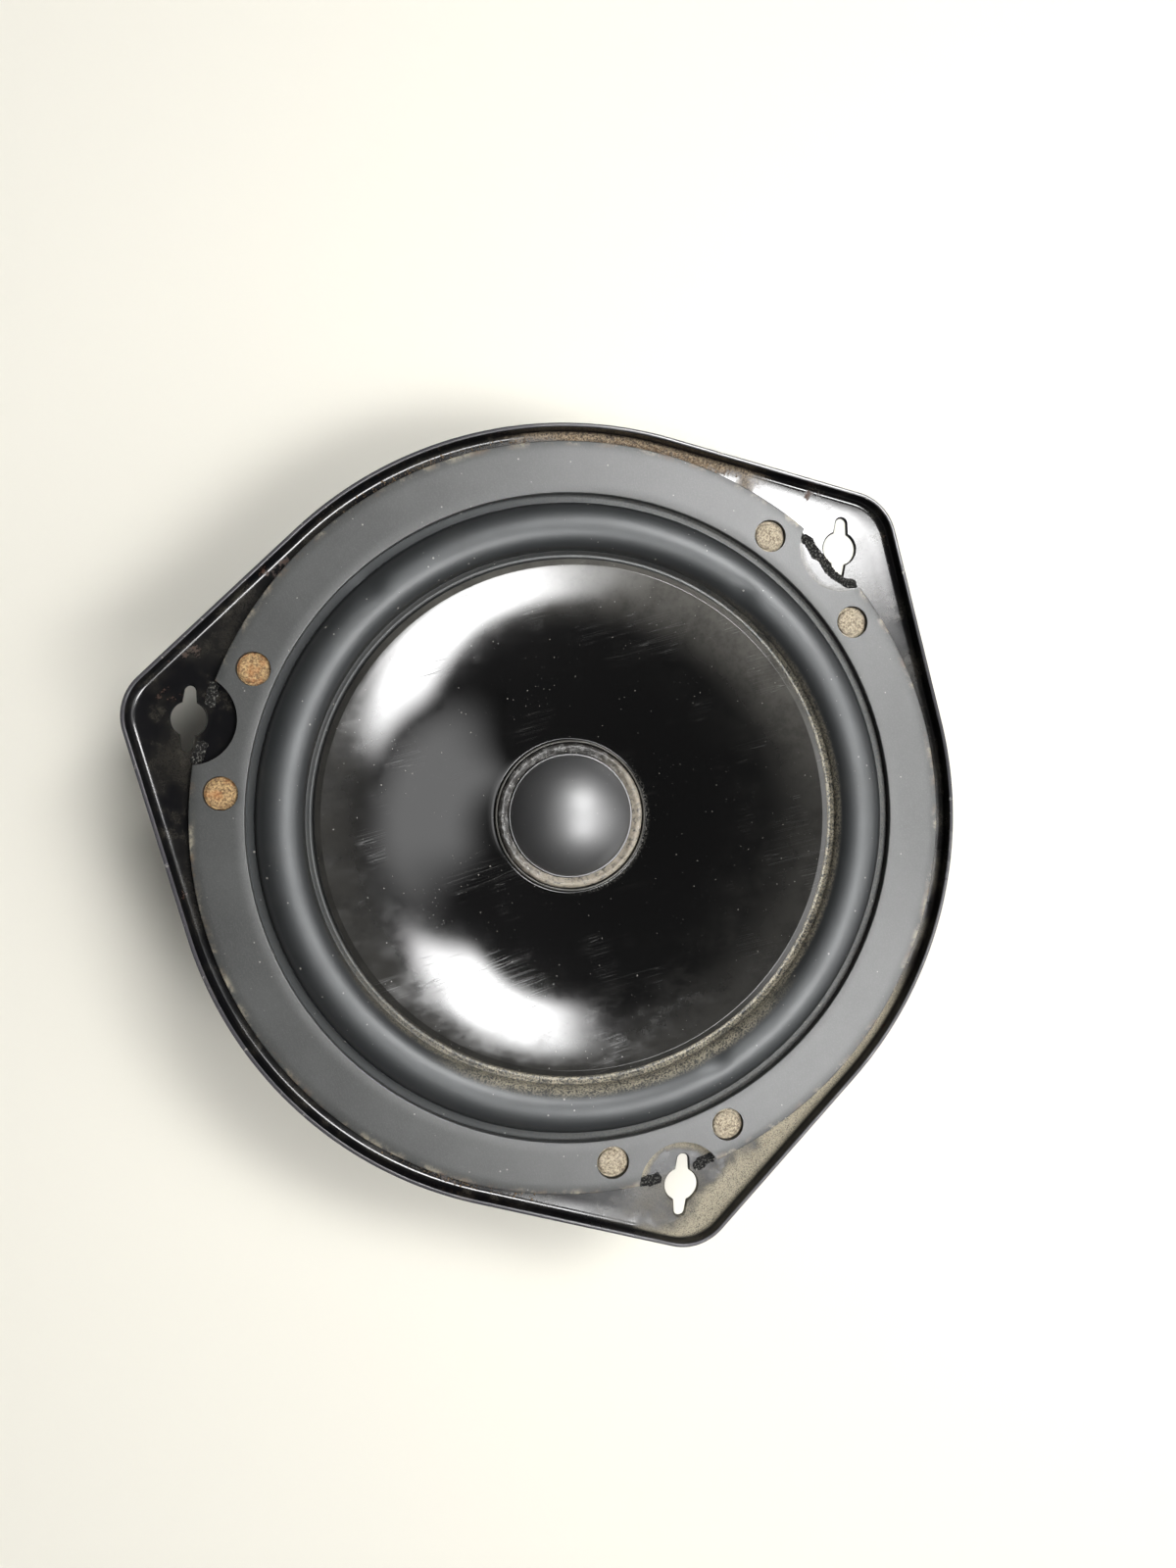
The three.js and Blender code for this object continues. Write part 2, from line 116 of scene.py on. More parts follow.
def filleted(corners: Sequence[Corner], closed: bool = False, steps: int = 5) -> list[Point]:
    """Rounds the corners of a path.

    Args:
        corners: Radius, height and fillet radius of each corner.
        closed: Whether the last corner joins the first.
        steps: Points on each rounded corner, less one.

    Returns:
        The path's points.
    """
    path: list[Point] = []
    count = len(corners)
    for index, (x, z, fillet) in enumerate(corners):
        here = Vector((x, z))
        ends = not closed and index in (0, count - 1)
        if fillet <= 0 or ends:
            path.append((x, z))
            continue
        before = Vector(corners[index - 1][:2]) - here
        after = Vector(corners[(index + 1) % count][:2]) - here
        half = before.angle(after) / 2
        reach = min(fillet / math.tan(half), 0.49 * before.length, 0.49 * after.length)
        radius = reach * math.tan(half)
        centre = here + (before.normalized() + after.normalized()).normalized() * (radius / math.sin(half))
        start = here + before.normalized() * reach - centre
        turn = start.angle_signed(here + after.normalized() * reach - centre)
        for step in range(steps + 1):
            spoke = Matrix.Rotation(-turn * step / steps, 2) @ start
            path.append(tuple(centre + spoke))
    return path


def densified(path: Sequence[Point], longest: float, closed: bool = False) -> list[Point]:
    """Adds points so that no stretch of a path is longer than a length."""
    dense: list[Point] = []
    following = [*path[1:], path[0]] if closed else path[1:]
    for here, there in zip(path, following):
        count = max(1, math.ceil(math.dist(here, there) / longest))
        for step in range(count):
            share = step / count
            dense.append((here[0] + (there[0] - here[0]) * share, here[1] + (there[1] - here[1]) * share))
    if not closed:
        dense.append(path[-1])
    return dense


def thickened(path: Sequence[Point], thickness: float) -> list[Point]:
    """Gives the closed outline of a sheet from the path of its left face.

    Args:
        path: Points of one face of the sheet.
        thickness: How far to the right of the path the other face lies.

    Returns:
        The closed outline.
    """
    back: list[Point] = []
    for index, point in enumerate(path):
        here = Vector(point)
        normals = []
        for first, second in ((index - 1, index), (index, index + 1)):
            if first >= 0 and second < len(path):
                run = (Vector(path[second]) - Vector(path[first])).normalized()
                normals.append(Vector((run.y, -run.x)))
        mean = sum(normals, Vector((0.0, 0.0))).normalized()
        back.append(tuple(here + mean * thickness / max(mean.dot(normals[0]), 0.4)))
    return [*path, *reversed(back)]


# ---- mesh making ----------------------------------------------------------------------------


def spun(path: Sequence[Point], steps: int, closed: bool = True) -> bmesh.types.BMesh:
    """Spins a path of radius and height points about the listening axis.

    Args:
        path: Points in millimetres.
        steps: Facets in the full turn.
        closed: Whether the path's last point joins its first.

    Returns:
        The mesh, with its faces pointing out.
    """
    mesh = bmesh.new()
    verts = [mesh.verts.new((radius * MM, 0, height * MM)) for radius, height in path]
    edges = [mesh.edges.new(pair) for pair in zip(verts, verts[1:])]
    if closed:
        edges.append(mesh.edges.new((verts[-1], verts[0])))
    bmesh.ops.spin(mesh, geom=[*verts, *edges], cent=(0, 0, 0), axis=(0, 0, 1), dvec=(0, 0, 0),
                   angle=FULL_TURN, steps=steps, use_merge=True)
    bmesh.ops.remove_doubles(mesh, verts=mesh.verts, dist=1e-7)
    bmesh.ops.recalc_face_normals(mesh, faces=mesh.faces)
    return mesh


def washer_path(inner: float, outer: float, base: float, top: float, edge: float) -> list[Point]:
    """Gives the section of a washer with rounded edges."""
    corners = [(inner, base, edge), (outer, base, edge), (outer, top, edge), (inner, top, edge)]
    return filleted(corners, closed=True, steps=3)


def raised(outline: Sequence[Point], base: float, top: float) -> bmesh.types.BMesh:
    """Raises a flat outline into a prism."""
    mesh = bmesh.new()
    face = mesh.faces.new([mesh.verts.new((x * MM, y * MM, base * MM)) for x, y in outline])
    grown = bmesh.ops.extrude_face_region(mesh, geom=[face])["geom"]
    lifted = [item for item in grown if isinstance(item, bmesh.types.BMVert)]
    bmesh.ops.translate(mesh, verts=lifted, vec=(0, 0, (top - base) * MM))
    bmesh.ops.recalc_face_normals(mesh, faces=mesh.faces)
    return mesh


def round_bar(radius: float, base: float, top: float, centre: Point, steps: int = 48) -> bmesh.types.BMesh:
    """Makes a capped round bar along Z."""
    mesh = bmesh.new()
    middle = Matrix.Translation((centre[0] * MM, centre[1] * MM, (base + top) / 2 * MM))
    bmesh.ops.create_cone(mesh, cap_ends=True, segments=steps, radius1=radius * MM, radius2=radius * MM,
                          depth=(top - base) * MM, matrix=middle)
    return mesh


def joined(meshes: Iterable[bmesh.types.BMesh]) -> bmesh.types.BMesh:
    """Puts several meshes into one and frees them."""
    whole = bmesh.new()
    for mesh in meshes:
        data = bpy.data.meshes.new("join")
        mesh.to_mesh(data)
        whole.from_mesh(data)
        bpy.data.meshes.remove(data)
        mesh.free()
    return whole


def shaded(mesh: bmesh.types.BMesh, crease: float) -> None:
    """Smooths a mesh, keeping edges that turn by more than crease degrees sharp."""
    limit = math.radians(crease)
    for face in mesh.faces:
        face.smooth = True
    for edge in mesh.edges:
        edge.smooth = len(edge.link_faces) == 2 and edge.calc_face_angle(0.0) < limit


def applied(piece: bpy.types.Object) -> None:
    """Applies a piece's modifiers to its mesh."""
    bpy.context.view_layer.update()
    shape = piece.evaluated_get(bpy.context.evaluated_depsgraph_get())
    finished = bpy.data.meshes.new_from_object(shape)
    old = piece.data
    piece.modifiers.clear()
    piece.data = finished
    bpy.data.meshes.remove(old)


def carved(piece: bpy.types.Object, tools: Iterable[bmesh.types.BMesh]) -> None:
    """Cuts tools out of a piece and frees them."""
    whole = joined(tools)
    data = bpy.data.meshes.new("tool")
    whole.to_mesh(data)
    whole.free()
    cutter = bpy.data.objects.new("tool", data)
    bpy.context.scene.collection.objects.link(cutter)
    cut = piece.modifiers.new("cut", "BOOLEAN")
    cut.object = cutter
    cut.operation = "DIFFERENCE"
    cut.solver = "EXACT"
    applied(piece)
    bpy.data.objects.remove(cutter)
    bpy.data.meshes.remove(data)


def reshaded(piece: bpy.types.Object, crease: float) -> None:
    """Sets a finished mesh's smooth faces and sharp edges again after cutting."""
    mesh = bmesh.new()
    mesh.from_mesh(piece.data)
    bmesh.ops.remove_doubles(mesh, verts=mesh.verts, dist=2e-7)
    bmesh.ops.dissolve_degenerate(mesh, edges=mesh.edges, dist=1e-7)
    shaded(mesh, crease)
    mesh.to_mesh(piece.data)
    mesh.free()


def moved(mesh: bmesh.types.BMesh, change: Callable[[Vector], Vector]) -> bmesh.types.BMesh:
    """Moves every vertex of a mesh by a function of its place in metres."""
    for vert in mesh.verts:
        vert.co = change(vert.co)
    return mesh


@dataclass
class Workshop:
    """Turns meshes into pieces that ride on the frame."""

    made: list[str] = field(default_factory=list)

    def piece(self, name: str, mesh: bmesh.types.BMesh, finish: "Finish", body: Body | None,
              node: str = "", crease: float = 35) -> bpy.types.Object:
        """Makes a piece from a mesh.

        Args:
            name: The piece's name.
            mesh: Its shape, which is freed.
            finish: Its material and slot.
            body: The body that it rides on, or None for a piece that will bend between both.
            node: The CAD node that it stands for, if any.
            crease: Edges that turn by more than this many degrees stay sharp.

        Returns:
            The piece.
        """
        shaded(mesh, crease)
        data = bpy.data.meshes.new(name)
        mesh.to_mesh(data)
        mesh.free()
        data.materials.append(finish.material)
        piece = bpy.data.objects.new(name, data)
        bpy.context.scene.collection.objects.link(piece)
        if body:
            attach(piece, body.value)
        if node:
            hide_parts(node)
        self.made.append(name)
        LOG.info("made %s with %d faces", name, len(data.polygons))
        return piece


def bent(piece: bpy.types.Object, share: Callable[[Vector], float]) -> None:
    """Lets a piece bend between the two bodies.

    Args:
        piece: The piece, with its final mesh and no parent.
        share: Gives 0 where a point follows the frame and 1 where it follows the moving assembly.
    """
    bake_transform(piece, Body.FRAME.value, Body.MOVING.value, start=(0.07, 0, 0), end=(0.058, 0, 0))
    weights = piece.data.attributes["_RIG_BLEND"].data
    for vert in piece.data.vertices:
        weights[vert.index].value = share(vert.co)


# ---- finishes -------------------------------------------------------------------------------


@dataclass(frozen=True)
class Finish:
    """A built material and the record's slot that it belongs to."""

    material: bpy.types.Material
    slot: str = ""


class Sheet:
    """A material's node sheet, with short names for the nodes that the finishes use."""

    def __init__(self, name: str) -> None:
        """Starts a material with one Principled shader."""
        self.material = bpy.data.materials.new(name)
        self.material.use_nodes = True
        self.tree = self.material.node_tree
        self.shader = self.tree.nodes["Principled BSDF"]
        self.place = self.tree.nodes.new("ShaderNodeTexCoord").outputs["Object"]

    def feed(self, socket: bpy.types.NodeSocket, value: object) -> None:
        """Links a socket to another, or sets its own value."""
        if isinstance(value, bpy.types.NodeSocket):
            self.tree.links.new(value, socket)
        elif isinstance(value, tuple) and len(value) == 3 and socket.type == "RGBA":
            socket.default_value = (*value, 1.0)
        else:
            socket.default_value = value

    def math(self, operation: str, first: object, second: object = 0.0) -> bpy.types.NodeSocket:
        """Gives the result of one sum on two values."""
        node = self.tree.nodes.new("ShaderNodeMath")
        node.operation = operation
        self.feed(node.inputs[0], first)
        self.feed(node.inputs[1], second)
        return node.outputs[0]

    def ramp(self, value: object, low: float, high: float, start: float = 0.0,
             end: float = 1.0) -> bpy.types.NodeSocket:
        """Maps low to high smoothly onto start to end, and holds it outside."""
        node = self.tree.nodes.new("ShaderNodeMapRange")
        node.interpolation_type = "SMOOTHSTEP"
        for index, item in enumerate((value, low, high, start, end)):
            self.feed(node.inputs[index], item)
        return node.outputs[0]

    def band(self, value: object, low: float, high: float, blur: float) -> bpy.types.NodeSocket:
        """Is 1 between two values and fades to 0 outside them."""
        rise = self.ramp(value, low - blur, low + blur)
        fall = self.ramp(value, high - blur, high + blur, 1.0, 0.0)
        return self.times(rise, fall)

    def mix(self, share: object, first: object, second: object) -> bpy.types.NodeSocket:
        """Mixes two colours."""
        node = self.tree.nodes.new("ShaderNodeMix")
        node.data_type = "RGBA"
        self.feed(node.inputs[0], share)
        self.feed(node.inputs[6], first)
        self.feed(node.inputs[7], second)
        return node.outputs[2]

    def turned(self, scale: Sequence[float], degrees: float = 0.0) -> bpy.types.NodeSocket:
        """Gives the object's coordinates turned about Z and scaled."""
        node = self.tree.nodes.new("ShaderNodeMapping")
        node.inputs["Rotation"].default_value = (0, 0, math.radians(degrees))
        node.inputs["Scale"].default_value = tuple(scale)
        self.feed(node.inputs["Vector"], self.place)
        return node.outputs[0]

    def clouds(self, scale: float, detail: float = 4.0, rough: float = 0.6,
               place: object = None) -> bpy.types.NodeSocket:
        """Gives a noise pattern; scale counts its features in a metre."""
        node = self.tree.nodes.new("ShaderNodeTexNoise")
        self.feed(node.inputs["Vector"], place or self.place)
        node.inputs["Scale"].default_value = scale
        node.inputs["Detail"].default_value = detail
        node.inputs["Roughness"].default_value = rough
        return node.outputs[0]

    def specks(self, scale: float, size: float) -> bpy.types.NodeSocket:
        """Gives scattered round specks: 1 inside a speck and 0 elsewhere."""
        cells = self.tree.nodes.new("ShaderNodeTexVoronoi")
        self.feed(cells.inputs["Vector"], self.place)
        cells.inputs["Scale"].default_value = scale
        cells.inputs["Randomness"].default_value = 1.0
        pick = self.tree.nodes.new("ShaderNodeSeparateColor")
        self.feed(pick.inputs[0], cells.outputs["Color"])
        limit = self.times(self.math("POWER", pick.outputs[0], 4.0), size)
        return self.math("LESS_THAN", cells.outputs["Distance"], limit)

    def scratches(self, degrees: float, density: float, spread: float) -> bpy.types.NodeSocket:
        """Gives thin broken lines that run at an angle about Z."""
        lines = self.clouds(1.0, 1.0, 0.5, self.turned((spread, density, spread), degrees))
        broken = self.ramp(self.clouds(70.0, 2.0), 0.5, 0.62)
        fine = self.band(lines, 0.495, 0.505, 0.004)
        return self.times(fine, broken)

    def folded(self, operation: str, values: Sequence[object]) -> bpy.types.NodeSocket:
        """Gives the result of one kind of sum on several values, from the first to the last."""
        result = values[0]
        for value in values[1:]:
            result = self.math(operation, result, value)
        return result

    def most(self, *values: object) -> bpy.types.NodeSocket:
        """Gives the largest of several values."""
        return self.folded("MAXIMUM", values)

    def times(self, *values: object) -> bpy.types.NodeSocket:
        """Multiplies several values."""
        return self.folded("MULTIPLY", values)

    def plus(self, *values: object) -> bpy.types.NodeSocket:
        """Adds several values."""
        return self.folded("ADD", values)

    def along(self, axis: Axis) -> bpy.types.NodeSocket:
        """Gives one of the object's coordinates, in metres."""
        node = self.tree.nodes.new("ShaderNodeSeparateXYZ")
        self.feed(node.inputs[0], self.place)
        return node.outputs[axis.value]

    def radius(self) -> bpy.types.NodeSocket:
        """Gives the distance from the listening axis, in metres."""
        node = self.tree.nodes.new("ShaderNodeVectorMath")
        node.operation = "LENGTH"
        self.feed(node.inputs[0], self.turned((1, 1, 0)))
        return node.outputs["Value"]

    def towards(self, degrees: float) -> bpy.types.NodeSocket:
        """Gives the distance from the axis in one direction of the plane, in metres."""
        node = self.tree.nodes.new("ShaderNodeVectorMath")
        node.operation = "DOT_PRODUCT"
        self.feed(node.inputs[0], self.place)
        node.inputs[1].default_value = (*polar(1, degrees), 0)
        return node.outputs["Value"]

    def away(self, place: Point) -> bpy.types.NodeSocket:
        """Gives the distance in the plane from a place in millimetres, in metres."""
        node = self.tree.nodes.new("ShaderNodeVectorMath")
        node.operation = "DISTANCE"
        self.feed(node.inputs[0], self.turned((1, 1, 0)))
        node.inputs[1].default_value = (place[0] * MM, place[1] * MM, 0)
        return node.outputs["Value"]

    def bump(self, height: object, depth: float) -> None:
        """Raises the surface by a pattern, with its depth in millimetres."""
        node = self.tree.nodes.new("ShaderNodeBump")
        node.inputs["Strength"].default_value = 1.0
        node.inputs["Distance"].default_value = depth * MM
        self.feed(node.inputs["Height"], height)
        previous = self.shader.inputs["Normal"].links
        if previous:
            self.feed(node.inputs["Normal"], previous[0].from_socket)
        self.feed(self.shader.inputs["Normal"], node.outputs[0])

    def set(self, **values: object) -> None:
        """Sets the shader's sockets by their names, with spaces as underscores."""
        for name, value in values.items():
            self.feed(self.shader.inputs[name.replace("_", " ")], value)


@dataclass(frozen=True)
class Look:
    """What all looks share: a name and one sheet of nodes."""

    name: str

    def lay(self, sheet: Sheet) -> None:
        """Sets up the sheet's nodes."""
        raise NotImplementedError

    def finish(self, slot: str = "") -> Finish:
        """Builds the material and gives it its slot."""
        sheet = Sheet(self.name)
        self.lay(sheet)
        return Finish(sheet.material, slot)


@dataclass(frozen=True)
class GlossPaint(Look):
    """Black electrocoat on pressed steel: settled dust, small chips, a little rust and a grey painted
    highlight on the lip.
    """

    name: str = "gloss_paint"
    black: Colour = (0.004, 0.004, 0.0045)
    steel: Colour = (0.2, 0.19, 0.17)
    lip_top: float = 58.1
    flange_low: float = 54.4
    flange_high: float = 55.4
    notch_circle: float = 84.7
    notch_inner: float = 7.8
    notch_outer: float = 10.1
    dusty_notches: tuple[float, float] = (270.0, 30.0)
    sandy_flank: float = -59.1
    sandy_tip: float = -90.0
    soiled_flank: float = 66.0

    def lay(self, sheet: Sheet) -> None:
        """Lays the nodes of this look."""
        height = sheet.along(Axis.Z)
        radius = sheet.radius()
        grains = sheet.ramp(sheet.clouds(4200, 3, 0.7), 0.28, 0.56)
        drifts = sheet.ramp(sheet.clouds(75, 5, 0.65), 0.42, 0.66)
        side = sheet.ramp(sheet.towards(DUST_SIDE), 0.05, 0.088)
        flange = sheet.band(height, self.flange_low * MM, self.flange_high * MM, 0.0003)
        outside = sheet.ramp(radius, 0.081, 0.083)
        ragged = sheet.times(sheet.math("SUBTRACT", sheet.clouds(120, 4), 0.5), 0.012)
        flank = sheet.ramp(sheet.plus(sheet.towards(self.sandy_flank), ragged), 0.0762, 0.081)
        flank = sheet.times(flank, sheet.ramp(sheet.towards(-150.0), -0.034, -0.014))
        tip = sheet.ramp(sheet.plus(sheet.towards(self.sandy_tip), ragged), 0.0895, 0.0955)
        heavy = sheet.times(sheet.most(flank, tip), 0.95)
        light = sheet.times(drifts, sheet.plus(sheet.times(side, 0.3), 0.05))
        settled = sheet.times(sheet.times(flange, outside), sheet.most(heavy, light))
        on_wall = sheet.times(sheet.ramp(sheet.clouds(150, 5, 0.7), 0.5, 0.75), 0.10)
        soil_side = sheet.ramp(sheet.plus(sheet.towards(self.soiled_flank), ragged), 0.0785, 0.0825)
        soil = sheet.times(sheet.times(soil_side, outside), flange)
        soil = sheet.times(soil, sheet.ramp(sheet.clouds(900, 4, 0.7), 0.28, 0.45))
        soil = sheet.times(soil, sheet.ramp(sheet.towards(self.soiled_flank + 90), -0.033, -0.025))
        crumbling = sheet.ramp(sheet.clouds(2300, 4, 0.75), 0.4, 0.6)
        earth = sheet.mix(crumbling, (0.03, 0.02, 0.012), (0.3, 0.23, 0.15))
        notches = [sheet.away(polar(self.notch_circle, lobe)) for lobe in self.dusty_notches]
        notch = sheet.plus(sheet.folded("MINIMUM", notches), sheet.times(ragged, 0.3))
        arc = sheet.band(notch, self.notch_inner * MM, self.notch_outer * MM, 0.0009)
        arc = sheet.times(arc, sheet.ramp(radius, 0.080, 0.083, 1.0, 0.0))
        arc = sheet.times(arc, sheet.ramp(sheet.towards(DUST_SIDE), 0.0, 0.06, 0.15, 0.9))
        in_notch = sheet.times(arc, flange)
        dust = sheet.times(sheet.most(settled, on_wall, in_notch), grains)
        # Mask of the lip's top edge: it places the chips of wear and the thin grey painted highlight.
        edge = sheet.ramp(height, (self.lip_top - 0.3) * MM, (self.lip_top - 0.02) * MM)
        chips = sheet.times(edge, sheet.ramp(sheet.clouds(380, 4, 0.7), 0.63, 0.69))
        lower = sheet.ramp(height, 0.0535, 0.0545, 1.0, 0.0)
        patches = sheet.ramp(sheet.clouds(85, 6, 0.75), 0.63, 0.72)
        rusty = sheet.times(patches, sheet.most(sheet.times(lower, 0.5), outside))
        # Painted highlight: a thin uniform grey line along the lip's top.
        colour = sheet.mix(sheet.times(edge, 0.3), self.black, (0.14, 0.135, 0.15))
        colour = sheet.mix(chips, colour, self.steel)
        colour = sheet.mix(sheet.times(rusty, 0.25), colour, RUST)
        colour = sheet.mix(sheet.times(soil, 0.92), colour, earth)
        colour = sheet.mix(dust, colour, SAND)
        film = sheet.times(side, sheet.ramp(sheet.clouds(210, 5, 0.7), 0.3, 0.6, 0.1, 0.34))
        gloss = sheet.plus(film, sheet.ramp(sheet.clouds(60, 4), 0.3, 0.7, 0.12, 0.2))
        gloss = sheet.plus(gloss, sheet.times(sheet.most(dust, rusty, chips, soil), 0.6))
        sheet.set(Base_Color=colour, Roughness=gloss, Specular_IOR_Level=0.42)
        sheet.bump(sheet.clouds(900, 2), 0.004)
        sheet.bump(sheet.most(dust, soil), 0.05)


@dataclass(frozen=True)
class FibreBoard(Look):
    """Grey pressed fibre with a close nap and dirt along its outer edge."""

    name: str = "gasket_fibre"
    grey: Colour = (0.036, 0.0375, 0.036)
    dark: Colour = (0.02, 0.021, 0.02)
    edge: float = 81.6

    def lay(self, sheet: Sheet) -> None:
        """Lays the nodes of this look."""
        nap = sheet.clouds(2600, 3, 0.8)
        threads = sheet.clouds(1.0, 3, 0.7, sheet.turned((3200, 700, 1500), 24))
        mottle = sheet.ramp(sheet.clouds(55, 5, 0.65), 0.3, 0.75)
        colour = sheet.mix(mottle, self.dark, self.grey)
        colour = sheet.mix(sheet.ramp(threads, 0.45, 0.75, 0.0, 0.35), colour, (0.06, 0.061, 0.059))
        near_edge = sheet.ramp(sheet.radius(), (self.edge - 0.9) * MM, (self.edge + 0.8) * MM)
        dirt = sheet.times(near_edge, sheet.ramp(sheet.clouds(190, 6, 0.75), 0.47, 0.62))
        brown = sheet.mix(sheet.ramp(sheet.clouds(120, 3), 0.4, 0.6), (0.1, 0.06, 0.03), SAND)
        colour = sheet.mix(sheet.times(dirt, 0.8), colour, brown)
        colour = sheet.mix(sheet.times(sheet.specks(640, 0.13), 0.45), colour, PALE_DUST)
        colour = sheet.mix(sheet.ramp(nap, 0.45, 0.75, 0.0, 0.5), colour, (0.075, 0.076, 0.072))
        sheet.set(Base_Color=colour, Roughness=sheet.ramp(nap, 0.2, 0.8, 0.38, 0.5),
                  Specular_IOR_Level=0.75)
        sheet.bump(nap, 0.01)
        sheet.bump(threads, 0.014)


@dataclass(frozen=True)
class SatinRubber(Look):
    """Black moulded rubber with dust lying in the grooves beside the roll."""

    name: str = "surround_rubber"
    black: Colour = (0.004, 0.0044, 0.0048)
    groove_inner: float = 57.3
    groove_outer: float = 59.4
    drift_outer: float = 60.6
    strip_inner: float = 69.3
    strip_lit_side: float = -16.0
    drift_side: float = -95.0

    def lay(self, sheet: Sheet) -> None:
        """Lays the nodes of this look."""
        radius = sheet.radius()
        side = sheet.ramp(sheet.towards(DUST_SIDE), -0.03, 0.05, 0.04, 1.0)
        # The flat strip's pale dust is full on the lit side and fades to a tenth on the far side; that fade
        # is painted shade where the gasket shades the strip.
        right = sheet.ramp(sheet.towards(self.strip_lit_side), -0.03, 0.03, 0.1, 1.0)
        groove = sheet.band(radius, self.groove_inner * MM, self.groove_outer * MM, 0.0005)
        strip = sheet.ramp(radius, self.strip_inner * MM, (self.strip_inner + 0.4) * MM)
        clumps = sheet.ramp(sheet.clouds(300, 6, 0.7), 0.24, 0.56)
        grains = sheet.ramp(sheet.clouds(2400, 2, 0.6), 0.35, 0.6)
        drift = sheet.band(radius, self.groove_inner * MM, self.drift_outer * MM, 0.0009)
        drift = sheet.times(drift, sheet.ramp(sheet.towards(self.drift_side), 0.042, 0.056, 0.0, 0.85))
        lying = sheet.most(sheet.times(groove, side), drift)
        in_groove = sheet.times(lying, clumps)
        strip_dust_and_shade = sheet.times(sheet.times(strip, right), 0.12)
        film = sheet.ramp(sheet.clouds(90, 5, 0.7), 0.5, 0.8, 0.0, 0.02)
        dust = sheet.times(sheet.most(in_groove, strip_dust_and_shade), grains)
        colour = sheet.mix(sheet.plus(dust, film), self.black, SAND)
        colour = sheet.mix(sheet.times(sheet.specks(700, 0.16), 0.4), colour, PALE_DUST)
        gloss = sheet.ramp(sheet.clouds(140, 4), 0.3, 0.7, 0.54, 0.6)
        bare = sheet.math("SUBTRACT", 0.55, sheet.times(sheet.most(dust, strip), 0.45))
        sheet.set(Base_Color=colour, Roughness=gloss, Specular_IOR_Level=0.6,
                  Specular_Tint=(0.93, 0.98, 1.0), Coat_Weight=bare, Coat_Roughness=0.38, Coat_IOR=1.55)
        sheet.bump(sheet.clouds(3000, 2), 0.008)
        sheet.bump(dust, 0.06)


@dataclass(frozen=True)
class PolishedPlastic(Look):
    """Glossy black cone plastic: dust specks, hairline scratches, a hazy outer zone and a painted highlight
    on the collar.
    """

    name: str = "cone_plastic"
    black: Colour = (0.0035, 0.0035, 0.0035)
    haze_inner: float = 30.0
    haze_outer: float = 55.0
    haze_side: float = -105.0
    veil_inner: float = 41.0
    veil_outer: float = 55.5
    veil_side: float = 62.0
    collar_highlight_inner: float = 17.2
    collar_highlight_outer: float = 17.7
    spilt_inner: float = 17.6
    spilt_outer: float = 18.5
    spilt_side: float = -40.0
    scratch_angles: tuple[int, ...] = (12, 71, 128)

    def lay(self, sheet: Sheet) -> None:
        """Lays the nodes of this look."""
        radius = sheet.radius()
        outer = sheet.ramp(radius, self.haze_inner * MM, self.haze_outer * MM)
        side = sheet.ramp(sheet.towards(self.haze_side), -0.03, 0.06, 0.4, 1.0)
        wisps = sheet.ramp(sheet.clouds(1.0, 8, 0.8, sheet.turned((70, 110, 70), 35)), 0.36, 0.84)
        haze = sheet.times(sheet.times(wisps, outer), side)
        lines = sheet.most(*[sheet.scratches(angle, 900.0, 14.0) for angle in self.scratch_angles])
        gathered = sheet.ramp(sheet.clouds(60, 3), 0.45, 0.7)
        dots = sheet.most(sheet.specks(330, 0.07), sheet.specks(800, 0.12))
        fine_dots = sheet.times(sheet.specks(1700, 0.2), gathered)
        film = sheet.ramp(sheet.clouds(45, 6, 0.7), 0.35, 0.8)
        upper = sheet.ramp(sheet.towards(self.veil_side), 0.012, 0.05, 0.042, 0.145)
        veil = sheet.times(sheet.ramp(radius, self.veil_inner * MM, self.veil_outer * MM), upper)
        veil = sheet.times(veil, sheet.ramp(sheet.clouds(160, 6, 0.75), 0.3, 0.6, 0.6, 1.0))
        # Painted highlight: a thin pale ring along the collar's ridge, mixed in with the dust colours.
        collar = sheet.band(radius, self.collar_highlight_inner * MM, self.collar_highlight_outer * MM, 0.00015)
        collar = sheet.times(collar, 0.14)
        spilt = sheet.band(radius, self.spilt_inner * MM, self.spilt_outer * MM, 0.0006)
        spilt = sheet.times(spilt, sheet.ramp(sheet.towards(self.spilt_side), 0.005, 0.016))
        spilt = sheet.times(spilt, sheet.ramp(sheet.clouds(2400, 3, 0.7), 0.5, 0.6, 0.0, 0.2))
        dust_and_highlight = sheet.most(veil, collar, spilt, sheet.times(haze, 0.065), sheet.times(lines, 0.018),
                           sheet.times(dots, 0.3), sheet.times(fine_dots, 0.14))
        colour = sheet.mix(dust_and_highlight, self.black, PALE_DUST)
        gloss = sheet.plus(sheet.times(film, 0.05), 0.07)
        gloss = sheet.plus(gloss, sheet.times(haze, 0.22))
        gloss = sheet.plus(gloss, sheet.times(sheet.most(dots, fine_dots, lines), 0.2))
        sheet.set(Base_Color=colour, Roughness=gloss, Specular_IOR_Level=0.5)
        sheet.bump(sheet.clouds(26, 2, 0.4), 0.12)


@dataclass(frozen=True)
class CapCoating(Look):
    """Satin charcoal coating on the dust cap."""

    name: str = "cap_coating"
    charcoal: Colour = (0.005, 0.005, 0.0055)

    def lay(self, sheet: Sheet) -> None:
        """Lays the nodes of this look."""
        mottle = sheet.clouds(130, 5, 0.65)
        colour = sheet.mix(sheet.ramp(mottle, 0.35, 0.75), self.charcoal, (0.009, 0.009, 0.009))
        colour = sheet.mix(sheet.times(sheet.specks(900, 0.12), 0.4), colour, PALE_DUST)
        sheet.set(Base_Color=colour, Roughness=sheet.ramp(mottle, 0.3, 0.7, 0.5, 0.56),
                  Specular_IOR_Level=1.0, Coat_Weight=1.0, Coat_Roughness=0.46, Coat_IOR=1.9)
        sheet.bump(sheet.clouds(3400, 2), 0.006)


